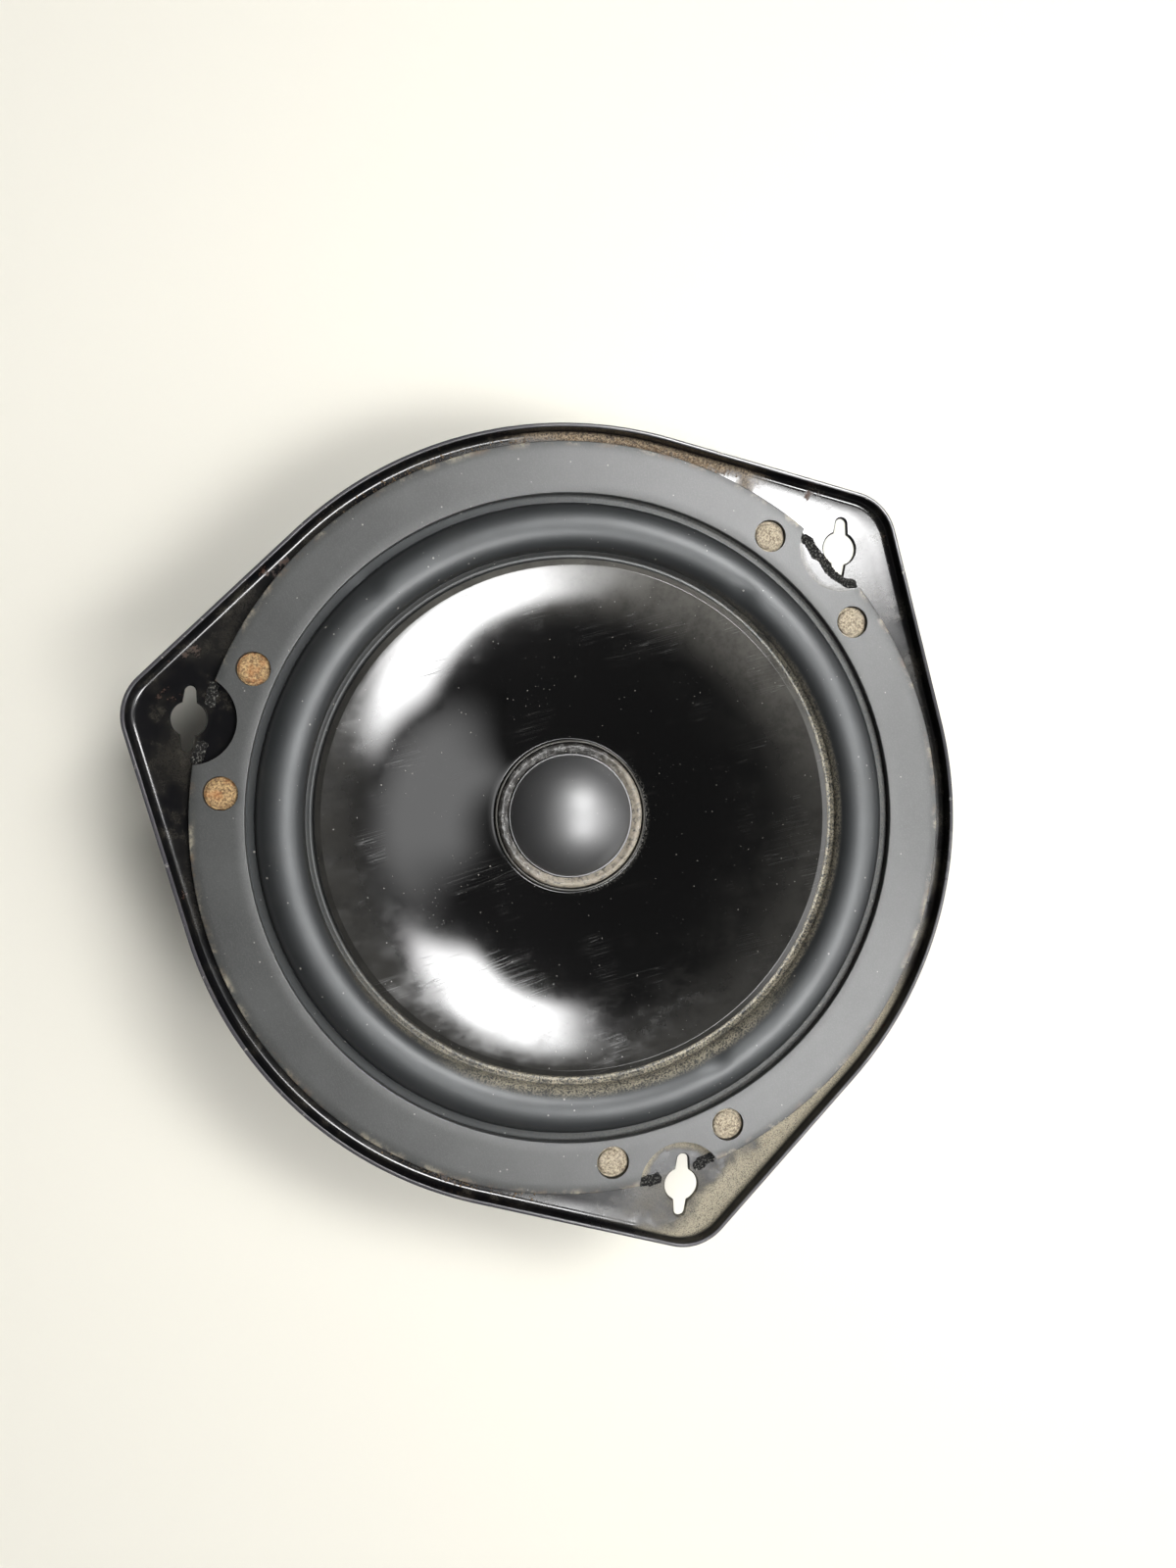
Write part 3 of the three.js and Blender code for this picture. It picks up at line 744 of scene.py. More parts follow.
@dataclass(frozen=True)
class DriedAdhesive(Look):
    """Dried adhesive, with grit stuck to it on its dusty side."""

    clear: Colour = (0.035, 0.032, 0.03)
    grit: Colour = (0.42, 0.37, 0.29)
    dusty: float = 0.6
    shine: float = 0.28

    def lay(self, sheet: Sheet) -> None:
        """Lays the nodes of this look."""
        side = sheet.ramp(sheet.towards(DUST_SIDE), -0.008, 0.010, 0.03, 1.0)
        clumps = sheet.ramp(sheet.clouds(900, 6, 0.75), 0.34, 0.52)
        dust = sheet.times(sheet.times(clumps, side), self.dusty)
        flecks = sheet.ramp(sheet.clouds(650, 5, 0.7), 0.48, 0.62)
        tone = sheet.mix(flecks, (0.01, 0.01, 0.01), (0.17, 0.17, 0.165))
        colour = sheet.mix(0.35, tone, self.clear)
        colour = sheet.mix(dust, colour, self.grit)
        colour = sheet.mix(sheet.times(sheet.specks(1700, 0.3), 0.6), colour, PALE_DUST)
        gloss = sheet.plus(sheet.times(dust, 0.6), self.shine)
        sheet.set(Base_Color=colour, Roughness=gloss, Specular_IOR_Level=0.5)
        sheet.bump(sheet.clouds(1600, 4, 0.7), 0.12)


@dataclass(frozen=True)
class Crust(Look):
    """Packed or loose dirt in three colours."""

    light: Colour
    dark: Colour
    stain: Colour = (0.09, 0.07, 0.05)
    bare: float = 0.38
    shine: float = 0.4

    def lay(self, sheet: Sheet) -> None:
        """Lays the nodes of this look."""
        grains = sheet.ramp(sheet.clouds(2000, 5, 0.75), self.bare, self.bare + 0.24)
        patches = sheet.ramp(sheet.clouds(330, 3), 0.45, 0.65)
        colour = sheet.mix(grains, self.dark, self.light)
        colour = sheet.mix(sheet.times(patches, 0.45), colour, self.stain)
        sheet.set(Base_Color=colour, Roughness=0.8, Specular_IOR_Level=self.shine)
        sheet.bump(sheet.clouds(2600, 4, 0.7), 0.12)


@dataclass(frozen=True)
class MachinedMetal(Look):
    """Plated or tinned metal with fine turned or rolled marks."""

    tone: Colour
    stain: Colour
    roughness: float = 0.34
    turned: bool = True

    def lay(self, sheet: Sheet) -> None:
        """Lays the nodes of this look."""
        if self.turned:
            lines = sheet.tree.nodes.new("ShaderNodeTexWave")
            lines.wave_type, lines.rings_direction = "RINGS", "Z"
            sheet.feed(lines.inputs["Vector"], sheet.place)
            lines.inputs["Scale"].default_value = 900
            lines.inputs["Distortion"].default_value = 1.5
            marks = lines.outputs["Fac"]
        else:
            marks = sheet.clouds(1.0, 3, 0.6, sheet.turned((400, 6000, 400)))
        blotches = sheet.ramp(sheet.clouds(110, 6, 0.7), 0.4, 0.75)
        colour = sheet.mix(sheet.times(blotches, 0.5), self.tone, self.stain)
        colour = sheet.mix(sheet.times(sheet.specks(600, 0.5), 0.5), colour, RUST)
        sheet.set(Base_Color=colour, Metallic=1.0,
                  Roughness=sheet.ramp(blotches, 0, 1, self.roughness, self.roughness + 0.18))
        sheet.bump(marks, 0.006)


@dataclass(frozen=True)
class GroundFerrite(Look):
    """Dark grey ferrite, ground flat, with pits sunk by bump and darkened as painted shade."""

    name: str = "ground_ferrite"

    def lay(self, sheet: Sheet) -> None:
        """Lays the nodes of this look."""
        grain = sheet.clouds(1900, 4, 0.75)
        colour = sheet.mix(sheet.ramp(grain, 0.3, 0.7), (0.018, 0.017, 0.018), (0.05, 0.048, 0.05))
        pits = sheet.specks(800, 0.5)
        # Painted shade: the pits are coloured darker than the ground ferrite.
        colour = sheet.mix(pits, colour, (0.008, 0.008, 0.008))
        sheet.set(Base_Color=colour, Roughness=sheet.ramp(grain, 0.3, 0.7, 0.45, 0.7))
        sheet.bump(sheet.clouds(1.0, 2, 0.5, sheet.turned((300, 300, 5000))), 0.02)
        sheet.bump(sheet.math("SUBTRACT", 1.0, pits), 0.05)


@dataclass(frozen=True)
class WovenCloth(Look):
    """Resin-treated cotton cloth in a plain weave."""

    name: str = "spider_cloth"
    thread: Colour = (0.38, 0.25, 0.09)
    gap: Colour = (0.14, 0.075, 0.02)
    pitch: float = 0.55

    def lay(self, sheet: Sheet) -> None:
        """Lays the nodes of this look."""
        turns = FULL_TURN / (self.pitch * MM)
        warp = sheet.math("SINE", sheet.times(sheet.along(Axis.X), turns))
        weft = sheet.math("SINE", sheet.times(sheet.along(Axis.Y), turns))
        weave = sheet.math("MAXIMUM", sheet.math("ABSOLUTE", warp), sheet.math("ABSOLUTE", weft))
        colour = sheet.mix(sheet.ramp(weave, 0.35, 0.95), self.gap, self.thread)
        colour = sheet.mix(sheet.ramp(sheet.clouds(70, 4), 0.4, 0.8, 0, 0.4), colour, (0.2, 0.12, 0.04))
        sheet.set(Base_Color=colour, Roughness=0.82, Sheen_Weight=0.2)
        sheet.bump(weave, 0.12)


@dataclass(frozen=True)
class PlainMoulding(Look):
    """A moulded, pressed or film part in one tone with fine mottling."""

    tone: Colour
    second: Colour
    roughness: float = 0.5
    grain: float = 900.0

    def lay(self, sheet: Sheet) -> None:
        """Lays the nodes of this look."""
        mottle = sheet.clouds(self.grain, 5, 0.7)
        colour = sheet.mix(sheet.ramp(mottle, 0.3, 0.7), self.tone, self.second)
        sheet.set(Base_Color=colour, Roughness=sheet.ramp(mottle, 0.3, 0.7, self.roughness,
                                                          self.roughness + 0.12))
        sheet.bump(mottle, 0.03)


@dataclass(frozen=True)
class BraidedCopper(Look):
    """Braided tinsel: crossed copper threads round a cotton core."""

    name: str = "tinsel_braid"
    bright: Colour = (0.62, 0.3, 0.14)
    dull: Colour = (0.2, 0.09, 0.04)

    def lay(self, sheet: Sheet) -> None:
        """Lays the nodes of this look."""
        fibres = sheet.clouds(5200, 2, 0.5)
        colour = sheet.mix(sheet.ramp(fibres, 0.35, 0.65), self.dull, self.bright)
        sheet.set(Base_Color=colour, Roughness=0.42, Metallic=0.85)
        sheet.bump(fibres, 0.04)


# ---- basket ---------------------------------------------------------------------------------


@dataclass(frozen=True)
class LobedRim:
    """The rim's outline: a circle with three screw lobes."""

    body: float = 86.0
    tip: float = 11.5
    flank: float = 30.9
    lobes: tuple[float, ...] = (30.0, 150.0, 270.0)
    gathering: float = 0.6

    def from_lobe(self, degrees: float) -> float:
        """Gives the signed turn, in degrees, from the nearest lobe to an angle."""
        turns = [angle_between(degrees, lobe) for lobe in self.lobes]
        return min(turns, key=abs)

    def radius(self, degrees: float, inset: float) -> float:
        """Gives the outline's radius at an angle, moved in by an inset."""
        away = math.radians(abs(self.from_lobe(degrees)))
        flank = math.radians(self.flank)
        body = self.body - inset
        tip = self.tip - inset
        centre = (self.body - self.tip) / math.cos(flank)
        corner = math.atan2(tip * math.sin(flank), centre + tip * math.cos(flank))
        if away >= flank:
            return body
        if away >= corner:
            return body / math.cos(flank - away)
        return centre * math.cos(away) + math.sqrt(tip ** 2 - (centre * math.sin(away)) ** 2)

    def gathered(self, degrees: float) -> float:
        """Moves evenly spread angles towards the lobes."""
        turn = math.radians(self.from_lobe(degrees))
        return degrees - math.degrees(self.gathering * math.sin(3 * turn) / 3)


@dataclass(frozen=True)
class TerminalSeat:
    """The flat on the basket's wall that carries the terminals; its own +Z points out."""

    reach: float = 57.0
    slope: float = math.atan2(23.9, 23.0)
    shelf_outer: float = 46.0
    shelf_top: float = 31.0
    spacing: float = 6.0
    rivet_spacing: float = 5.0

    def matrix(self) -> Matrix:
        """Gives the seat's own frame in metres."""
        height = self.shelf_top + (self.reach - self.shelf_outer) * math.tan(self.slope)
        place = Matrix.Translation((0, self.reach * MM, height * MM))
        return place @ Matrix.Rotation(self.slope - math.pi, 4, "X")

    def set_on(self, mesh: bmesh.types.BMesh) -> bmesh.types.BMesh:
        """Moves a mesh made in the seat's own frame onto the basket."""
        bmesh.ops.transform(mesh, matrix=self.matrix(), verts=mesh.verts)
        return mesh

    def pins(self) -> list[Point]:
        """Gives the places of the two eyelets and the two rivets."""
        return [(-self.spacing, 0), (self.spacing, 0), (0, -self.rivet_spacing), (0, self.rivet_spacing)]


@dataclass(frozen=True)
class ScrewHoles:
    """A round hole with a slot through it at each lobe; the slots are parallel."""

    circle: float = 85.5
    radius: float = 3.7
    slot_width: float = 2.4
    slot_length: float = 13.9
    slot_angle: float = 70.4
    corner: float = 0.5
    edge: float = 0.32

    def outline(self) -> list[Point]:
        """Gives the hole's outline about its own centre, with its slot along X."""
        half = self.slot_width / 2
        run = self.slot_length / 2 - half
        start = math.degrees(math.asin((half + self.corner) / (self.radius + self.corner)))
        arc = [polar(self.radius, start + (180 - 2 * start) * i / 16) for i in range(17)]
        end = [(-run + x, y) for x, y in (polar(half, 90 + 15 * i) for i in range(13))]
        lower = [(-x, -y) for x, y in arc]
        other = [(-x, -y) for x, y in end]
        return [*arc, *end, *lower, *other]

    def tools(self, lobes: Sequence[float], base: float, top: float) -> list[bmesh.types.BMesh]:
        """Makes one cutting prism for each lobe."""
        prisms = []
        for lobe in lobes:
            x, y = polar(self.circle, lobe)
            mesh = raised(self.outline(), base, top)
            place = Matrix.Translation((x * MM, y * MM, 0))
            turn = Matrix.Rotation(math.radians(self.slot_angle), 4, "Z")
            bmesh.ops.transform(mesh, matrix=place @ turn, verts=mesh.verts)
            prisms.append(mesh)
        return prisms

    def easing_tools(self, lobes: Sequence[float], face: float) -> list[bmesh.types.BMesh]:
        """Makes the shallow tapered tools that ease the holes' front edges."""
        tapers = self.tools(lobes, face - self.edge, face + 3 * self.edge)
        for mesh in tapers:
            mesh.normal_update()
            for vertex in mesh.verts:
                if vertex.co.z > face * MM:
                    outward = Vector((*vertex.normal.xy.normalized(), 0))
                    vertex.co += outward * 4 * self.edge * MM
        return tapers


@dataclass(frozen=True)
class Basket:
    """The pressed steel basket: base, shelf, conical wall, lobed flange and lip."""

    rim: LobedRim
    seat: TerminalSeat
    screws: ScrewHoles
    sheet: float = 0.9
    lip_top: float = 58.1
    lip_edge: float = 0.3
    flange_front: float = 54.9
    rim_inner: float = 83.2
    flat_inner: float = 72.0
    facets: int = 360
    rib_depth: float = 0.9
    rib_half_angle: float = 5.5
    rivet_circle: float = 26.0
    rivet_hole: float = 2.05

    def front_path(self) -> list[Point]:
        """Gives the sheet's front face from the base hole to the lip's top."""
        top = self.lip_top
        inner_lip = self.rim.body - self.sheet
        return filleted([(18, 23.5, 0), (32.4, 23.5, 1.5), (37, 31, 1.2), (46, 31, 2.0),
                         (69, self.flange_front, 2.5), (inner_lip, self.flange_front, 2.5),
                         (inner_lip, top, 0)])

    def outline(self) -> list[Point]:
        """Gives the sheet's closed section, with a rounded top on the lip."""
        section = thickened(self.front_path(), self.sheet)
        corners: list[Corner] = []
        for radius, height in section:
            fillet = self.lip_edge if height > self.lip_top - 0.01 else 0
            corners.append((radius, height, fillet))
        return filleted(corners, closed=True, steps=5)

    def ribs(self, place: Vector) -> float:
        """Gives how far the wall's stiffening ribs are pressed down at a place."""
        radius = place.xy.length / MM
        degrees = math.degrees(math.atan2(place.y, place.x))
        spoke = angle_between(degrees, round((degrees - 30) / 60) * 60 + 30)
        if abs(angle_between(degrees, 90)) < 20:
            return 0
        along = smoothstep(47, 50.5, radius) * (1 - smoothstep(65.5, 69, radius))
        across = 1 - smoothstep(0.35, 1.0, abs(spoke) / self.rib_half_angle)
        return self.rib_depth * along * across

    def on_rim(self, place: Vector) -> Vector:
        """Presses the ribs and carries a place on the round sheet out to the lobed rim."""
        radius = place.xy.length / MM
        degrees = self.rim.gathered(math.degrees(math.atan2(place.y, place.x)))
        at_rim = self.rim.radius(degrees, self.rim.body - max(radius, self.rim_inner))
        if radius < self.rim_inner:
            reach = (radius - self.flat_inner) / (self.rim_inner - self.flat_inner)
            at_rim = self.flat_inner + (at_rim - self.flat_inner) * reach
        radius = at_rim if radius > self.flat_inner else radius
        x, y = polar(radius * MM, degrees)
        return Vector((x, y, place.z - self.ribs(Vector((x, y, 0))) * MM))

    def window(self, degrees: float) -> bmesh.types.BMesh:
        """Makes the tool for one window in the wall."""
        inner, outer, half, corner = 49.0, 65.0, 19.0, 3.0
        outline: list[Point] = []
        for radius, side, inward in ((outer, -1, -1), (outer, 1, -1), (inner, 1, 1), (inner, -1, 1)):
            trim = math.degrees(corner / radius)
            on_arc = (radius, degrees + side * (half - trim))
            on_side = (radius + inward * corner, degrees + side * half)
            first, last = (on_side, on_arc) if side * inward > 0 else (on_arc, on_side)
            knee = Vector(polar(radius, degrees + side * half))
            start, end = Vector(polar(*first)), Vector(polar(*last))
            for step in range(7):
                share = step / 6
                bend = start.lerp(knee, share).lerp(knee.lerp(end, share), share)
                outline.append(tuple(bend))
            if side * inward < 0:
                continue
            span = 2 * (half - trim) * side
            middle = [polar(radius, degrees + side * (half - trim) - span * i / 14) for i in range(1, 14)]
            outline.extend(middle)
        return raised(outline, 27, 53.5)

    def build(self, shop: Workshop, paint: Finish) -> None:
        """Builds the basket and the pad under its terminals."""
        path = densified(self.outline(), 2.2, closed=True)
        shell = moved(spun(path, self.facets), self.on_rim)
        piece = shop.piece("basket_shell", shell, paint, Body.FRAME, "basket", crease=40)
        carved(piece, [self.window(60 * index) for index in range(6)])
        holes = self.screws.tools(self.rim.lobes, 52, 57)
        rivets = [polar(self.rivet_circle, 45 + 90 * index) for index in range(4)]
        holes += [round_bar(self.rivet_hole, 21, 25, place) for place in rivets]
        holes += self.seat_holes(-5, 1)
        carved(piece, holes)
        carved(piece, self.screws.easing_tools(self.rim.lobes, self.flange_front))
        reshaded(piece, 32)
        pad = bmesh.new()
        bmesh.ops.create_cube(pad, size=MM, matrix=Matrix.Translation((0, 0, MM))
                              @ Matrix.Diagonal((18, 16, 1.6, 1)))
        bmesh.ops.bevel(pad, geom=pad.edges[:], offset=0.5 * MM, segments=4, profile=0.5, affect="EDGES",
                        material=-1)
        plate = shop.piece("terminal_pad", self.seat.set_on(pad), paint, Body.FRAME)
        carved(plate, self.seat_holes(-5, 5))
        reshaded(plate, 32)

    def seat_holes(self, base: float, top: float) -> list[bmesh.types.BMesh]:
        """Makes the tools for the two lead holes and the two rivet holes at the terminals."""
        sizes = (3.2, 3.2, 1.3, 1.3)
        bars = [round_bar(size, base, top, place, 32) for size, place in zip(sizes, self.seat.pins())]
        return [self.seat.set_on(mesh) for mesh in bars]


# ---- motor ----------------------------------------------------------------------------------


@dataclass(frozen=True)
class Motor:
    """Yoke, ferrite ring, front plate and the rivets that hold the basket."""

    yoke_radius: float = 37.0
    yoke_top: float = 5.5
    magnet_radius: float = 40.0
    magnet_top: float = 17.5
    plate_radius: float = 36.0
    plate_top: float = 22.5
    chip_depth: float = 0.55
    rivet_circle: float = 26.0

    def yoke(self) -> bmesh.types.BMesh:
        """Makes the yoke, with a shallow centring recess in its rear face."""
        top = self.yoke_top
        path = filleted([(0, 0.6, 0), (9.5, 0.6, 0.5), (10.5, 0, 0.4), (self.yoke_radius, 0, 1.1),
                         (self.yoke_radius, top, 0.8), (12.1, top, 0.6), (12.1, 22.5, 0.7), (0, 22.5, 0)])
        return spun(densified(path, 6), 144, closed=False)

    def chipped(self, place: Vector) -> Vector:
        """Breaks small chips off the magnet's outer edges."""
        radius = place.xy.length / MM
        height = place.z / MM
        middle = (self.yoke_top + self.magnet_top) / 2
        half = (self.magnet_top - self.yoke_top) / 2
        near_edge = smoothstep(half - 1.6, half - 0.2, abs(height - middle))
        near_edge *= smoothstep(37.5, 39.5, radius)
        loss = smoothstep(0.3, 0.6, noise.noise(place * 190)) * self.chip_depth * near_edge
        x, y = place.x * (1 - loss / radius), place.y * (1 - loss / radius)
        return Vector((x, y, (height - math.copysign(loss, height - middle)) * MM))

    def magnet(self) -> bmesh.types.BMesh:
        """Makes the ferrite ring with chipped edges."""
        path = filleted([(22, self.yoke_top, 0.8), (self.magnet_radius, self.yoke_top, 1.0),
                         (self.magnet_radius, self.magnet_top, 1.0), (22, self.magnet_top, 0.8)],
                        closed=True, steps=4)
        return moved(spun(densified(path, 1.0, closed=True), 300), self.chipped)

    def bead(self, radius: float, height: float, depth: float) -> bmesh.types.BMesh:
        """Makes an uneven squeezed-out line of glue round the motor."""
        section = [(radius - 0.6, height - depth), (radius + 0.1, height - depth * 0.9),
                   (radius + 0.35, height - depth * 0.3), (radius + 0.1, height), (radius - 0.6, height)]
        mesh = spun(section, 240)

        def uneven(place: Vector) -> Vector:
            """Swells and thins the bead round the ring."""
            size = 1 + 0.012 * noise.noise(Vector((place.x, place.y, height * MM)) * 160)
            return Vector((place.x * size, place.y * size, place.z))
        return moved(mesh, uneven)

    def build(self, shop: Workshop, steel: Finish, ferrite: Finish, glue: Finish) -> None:
        """Builds the motor's pieces."""
        shop.piece("motor_yoke", self.yoke(), steel, Body.FRAME, "yoke")
        shop.piece("motor_magnet", self.magnet(), ferrite, Body.FRAME, "magnet_ring", crease=50)
        plate = spun(filleted([(14, self.magnet_top, 0.4), (self.plate_radius, self.magnet_top, 0.8),
                               (self.plate_radius, self.plate_top, 0.8), (14, self.plate_top, 0.4)],
                              closed=True), 144)
        top = shop.piece("motor_front_plate", plate, steel, Body.FRAME, "front_plate")
        places = [polar(self.rivet_circle, 45 + 90 * index) for index in range(4)]
        carved(top, [round_bar(2.05, 16, 24, place, 24) for place in places])
        reshaded(top, 32)
        shop.piece("magnet_glue_rear", self.bead(self.yoke_radius, self.yoke_top, 0.5), glue, Body.FRAME)
        shop.piece("magnet_glue_front", self.bead(self.plate_radius, 18.1, 0.6), glue, Body.FRAME)
        for index, (x, y) in enumerate(places):
            path = filleted([(0, 17.8, 0), (1.9, 17.8, 0.2), (1.9, 23.5, 0), (3.4, 23.5, 0.15),
                             (3.2, 24.3, 0.5), (1.3, 24.7, 0.3), (1.0, 24.4, 0.2), (0, 24.4, 0)])
            rivet = spun(path, 32, closed=False)
            bmesh.ops.translate(rivet, verts=rivet.verts, vec=(x * MM, y * MM, 0))
            name = f"basket_rivet_{index + 1}"
            shop.piece(f"{name}_pin", rivet, steel, Body.FRAME, name)


# ---- moving parts ---------------------------------------------------------------------------


@dataclass(frozen=True)
class Cone:
    """The moulded cone: neck, glue moat, collar, flare and bonded rim."""

    collar: float = 17.7
    flare_inner: float = 17.9
    flare_outer: float = 54.8
    rim: float = 57.0
    rim_height: float = 55.2
    depth: float = 15.5
    wall: float = 0.5
    moat: float = 39.4
    neck: float = 13.05
    neck_bottom: float = 35.4

    def height(self, radius: float) -> float:
        """Gives the front surface's height over the flare."""
        share = (self.flare_outer - radius) / (self.flare_outer - self.flare_inner)
        return self.rim_height - self.depth * (0.6 * share + 0.4 * share * share)

    def front_path(self) -> list[Point]:
        """Gives the front face from the neck to the rim."""
        start, end = self.flare_inner + 0.8, self.flare_outer - 0.3
        flare = [(start + (end - start) * index / 40) for index in range(41)]
        inner = filleted([(self.neck, self.neck_bottom, 0), (self.neck, 38.9, 0.6),
                          (self.collar - 0.6, self.moat, 0.25),
                          (self.collar - 0.45, self.moat + 1.05, 0.12),
                          (self.collar - 0.15, self.moat + 1.05, 0.12), (self.flare_inner, 39.75, 0.3),
                          (start, self.height(start), 0)])
        rim = filleted([(end, self.height(end), 0), (self.flare_outer + 0.9, self.rim_height + 0.24, 0.3),
                        (self.rim, self.rim_height - 0.1, 0)])
        return [*inner[:-1], *[(radius, self.height(radius)) for radius in flare[:-1]], *rim]

    def build(self, shop: Workshop, plastic: Finish) -> None:
        """Builds the cone."""
        outline = thickened(self.front_path(), self.wall)
        shop.piece("cone_body", spun(outline, 240), plastic, Body.MOVING, "cone", crease=50)


@dataclass(frozen=True)
class CapAndBead:
    """The dust cap and the ring of glue that holds it in the moat."""

    radius: float = 14.5
    rise: float = 6.4
    wall: float = 0.4
    base: float = 39.5
    bead_outer: float = 17.0
    bead_height: float = 1.0

    def cap(self) -> bmesh.types.BMesh:
        """Makes the cap: a shallow spherical dome on a short skirt."""
        skirt = 0.75
        crown = self.rise - skirt
        span = self.radius - 0.3
        sphere = (span ** 2 + crown ** 2) / (2 * crown)
        limit = math.asin(span / sphere)
        ledge = self.base + skirt - 0.05
        path = filleted([(self.radius, self.base, 0), (self.radius, ledge, 0.12), (span + 0.02, ledge, 0)],
                        steps=4)
        for index in range(29):
            angle = limit * (1 - index / 28)
            height = self.base + skirt + sphere * math.cos(angle) - sphere * math.cos(limit)
            path.append((sphere * math.sin(angle), height))
        inner = [(max(r - self.wall, 0), max(z - self.wall, self.base)) for r, z in path]
        inner[-1] = (0, path[-1][1] - self.wall)
        return spun([*path, *reversed(inner)], 128, closed=False)

    def bead(self) -> bmesh.types.BMesh:
        """Makes the glue ring, lumpy and higher in places."""
        inner, outer = self.radius + 0.12, self.bead_outer
        path = [(inner, self.base)]
        for index in range(17):
            share = index / 16
            lift = math.sin(math.pi * share ** 1.5) ** 0.8
            height = self.base + 0.1 + (self.bead_height - 0.2) * lift
            path.append((inner + (outer - inner) * share, height))
        path.append((outer, self.base))
        mesh = spun(path, 360)

        def lumpy(place: Vector) -> Vector:
            """Raises lumps and sinks pits in the upper side of the ring."""
            lift = smoothstep(self.base + 0.15, self.base + 0.6, place.z / MM)
            coarse = noise.noise(place * 300) * 0.3
            fine = noise.noise(place * 1100) * 0.16
            return Vector((place.x, place.y, place.z + lift * (coarse + fine - 0.05) * MM))
        return moved(mesh, lumpy)

    def build(self, shop: Workshop, coating: Finish, glue: Finish) -> None:
        """Builds the cap and its glue."""
        shop.piece("dust_cap_dome", self.cap(), coating, Body.MOVING, "dust_cap", crease=60)
        shop.piece("dust_cap_glue", self.bead(), glue, Body.MOVING, "cap_glue_bead", crease=80)


@dataclass(frozen=True)
class VoiceCoil:
    """Former, winding and the fillet of adhesive at the cone's neck."""

    former_inner: float = 12.5
    former_outer: float = 12.75
    former_bottom: float = 15.0
    former_top: float = 38.2
    winding_outer: float = 13.5
    winding_bottom: float = 15.5
    winding_top: float = 24.5
    wire: float = 0.3

    def winding(self) -> bmesh.types.BMesh:
        """Makes the winding with its outer turns of wire."""
        turns = round((self.winding_top - self.winding_bottom) / self.wire)
        half = self.wire / 2
        inner = self.former_outer + 0.05
        path = [(inner, self.winding_top), (inner, self.winding_bottom)]
        for turn in range(turns):
            middle = self.winding_bottom + self.wire * (turn + 0.5)
            for angle in (-70, -25, 25, 70):
                out, up = polar(half, angle)
                path.append((self.winding_outer - half + out, middle + up))
        return spun(path, 96)

    def build(self, shop: Workshop, film: Finish, wire: Finish, glue: Finish) -> None:
        """Builds the coil's pieces."""
        former = washer_path(self.former_inner, self.former_outer, self.former_bottom,
                             self.former_top, 0.08)
        shop.piece("coil_former", spun(former, 128), film, Body.MOVING, "voice_coil_former")
        shop.piece("coil_winding", self.winding(), wire, Body.MOVING, "voice_coil_winding", crease=80)
        inner = self.former_outer + 0.05
        fillet = filleted([(inner, 33, 0), (14.1, 33, 0.3), (13.4, 33.9, 0.8), (13.05, 34.8, 0),
                           (inner, 34.8, 0)])
        shop.piece("neck_glue", spun(fillet, 96), glue, Body.MOVING, "neck_adhesive")


@dataclass(frozen=True)
class Surround:
    """The rubber half-roll and its flange under the gasket, with a few small dents."""

    rim: LobedRim
    inner: float = 55.3
    lip: float = 54.55
    foot: float = 58.9
    crest_radius: float = 64.4
    crest: float = 58.78
    outer_foot: float = 69.2
    seat: float = 55.5
    outer: float = 81.5
    wall: float = 0.55
    notch_circle: float = 84.7
    notch_radius: float = 9.65
    hole_circle: float = 76.1
    hole_spread: float = 10.2
    hole_radius: float = 3.1
    dents: tuple[tuple[float, float, float], ...] = (
        (117.0, 67.0, 0.5), (284.0, 60.6, 0.6), (38.0, 60.5, 0.5))

    def front_path(self) -> list[Point]:
        """Gives the front face from the lip under the cone to the flange's edge."""
        path = filleted([(self.inner, self.lip, 0), (57.0, self.lip, 0.3), (57.6, 53.95, 0.3),
                         (58.1, 53.95, 0.4), (self.foot - 0.1, self.lip + 0.1, 0)], steps=4)
        for index in range(33):
            angle = math.pi * (1 - index / 32)
            if angle > math.pi / 2:
                foot, half = self.lip + 0.15, self.crest_radius - self.foot
            else:
                foot, half = self.seat + 0.05, self.outer_foot - self.crest_radius
            rise = self.crest - foot
            path.append((self.crest_radius + half * math.cos(angle), foot + rise * math.sin(angle) ** 0.92))
        path += [(69.4, self.seat), (70.6, self.seat), (73, self.seat), (76, self.seat), (79, self.seat)]
        return [*path, (self.outer, self.seat)]

    def dented(self, place: Vector) -> Vector:
        """Presses the small dents into the roll."""
        sink = 0.0
        for degrees, radius, depth in self.dents:
            x, y = polar(radius * MM, degrees)
            away = (place.xy - Vector((x, y))).length / MM
            sink += depth * math.exp(-(away / 2.6) ** 2)
        sway = noise.noise(place * 22) * 0.09 * smoothstep(58, 62, place.xy.length / MM)
        sway *= 1 - smoothstep(66, 69, place.xy.length / MM)
        return Vector((place.x, place.y, place.z - (sink + abs(sway)) * MM))

    def rim_tools(self, hole_radius: float, notch_radius: float) -> list[bmesh.types.BMesh]:
        """Makes the tools for the three notches and the six round holes."""
        tools = []
        for lobe in self.rim.lobes:
            tools.append(round_bar(notch_radius, 53, 59, polar(self.notch_circle, lobe), 96))
            for side in (-1, 1):
                place = polar(self.hole_circle, lobe + side * self.hole_spread)
                tools.append(round_bar(hole_radius, 53, 59, place, 48))
        return tools

    def moving_share(self, place: Vector) -> float:
        """Gives how far a place follows the cone."""
        return 1 - smoothstep(58.4, 68.8, place.xy.length / MM)

    def build(self, shop: Workshop, rubber: Finish) -> None:
        """Builds the surround and lets it bend."""
        ring = moved(spun(thickened(self.front_path(), self.wall), 300), self.dented)
        piece = shop.piece("surround_roll", ring, rubber, None, "surround", crease=50)
        carved(piece, self.rim_tools(self.hole_radius, self.notch_radius))
        reshaded(piece, 50)
        bent(piece, self.moving_share)


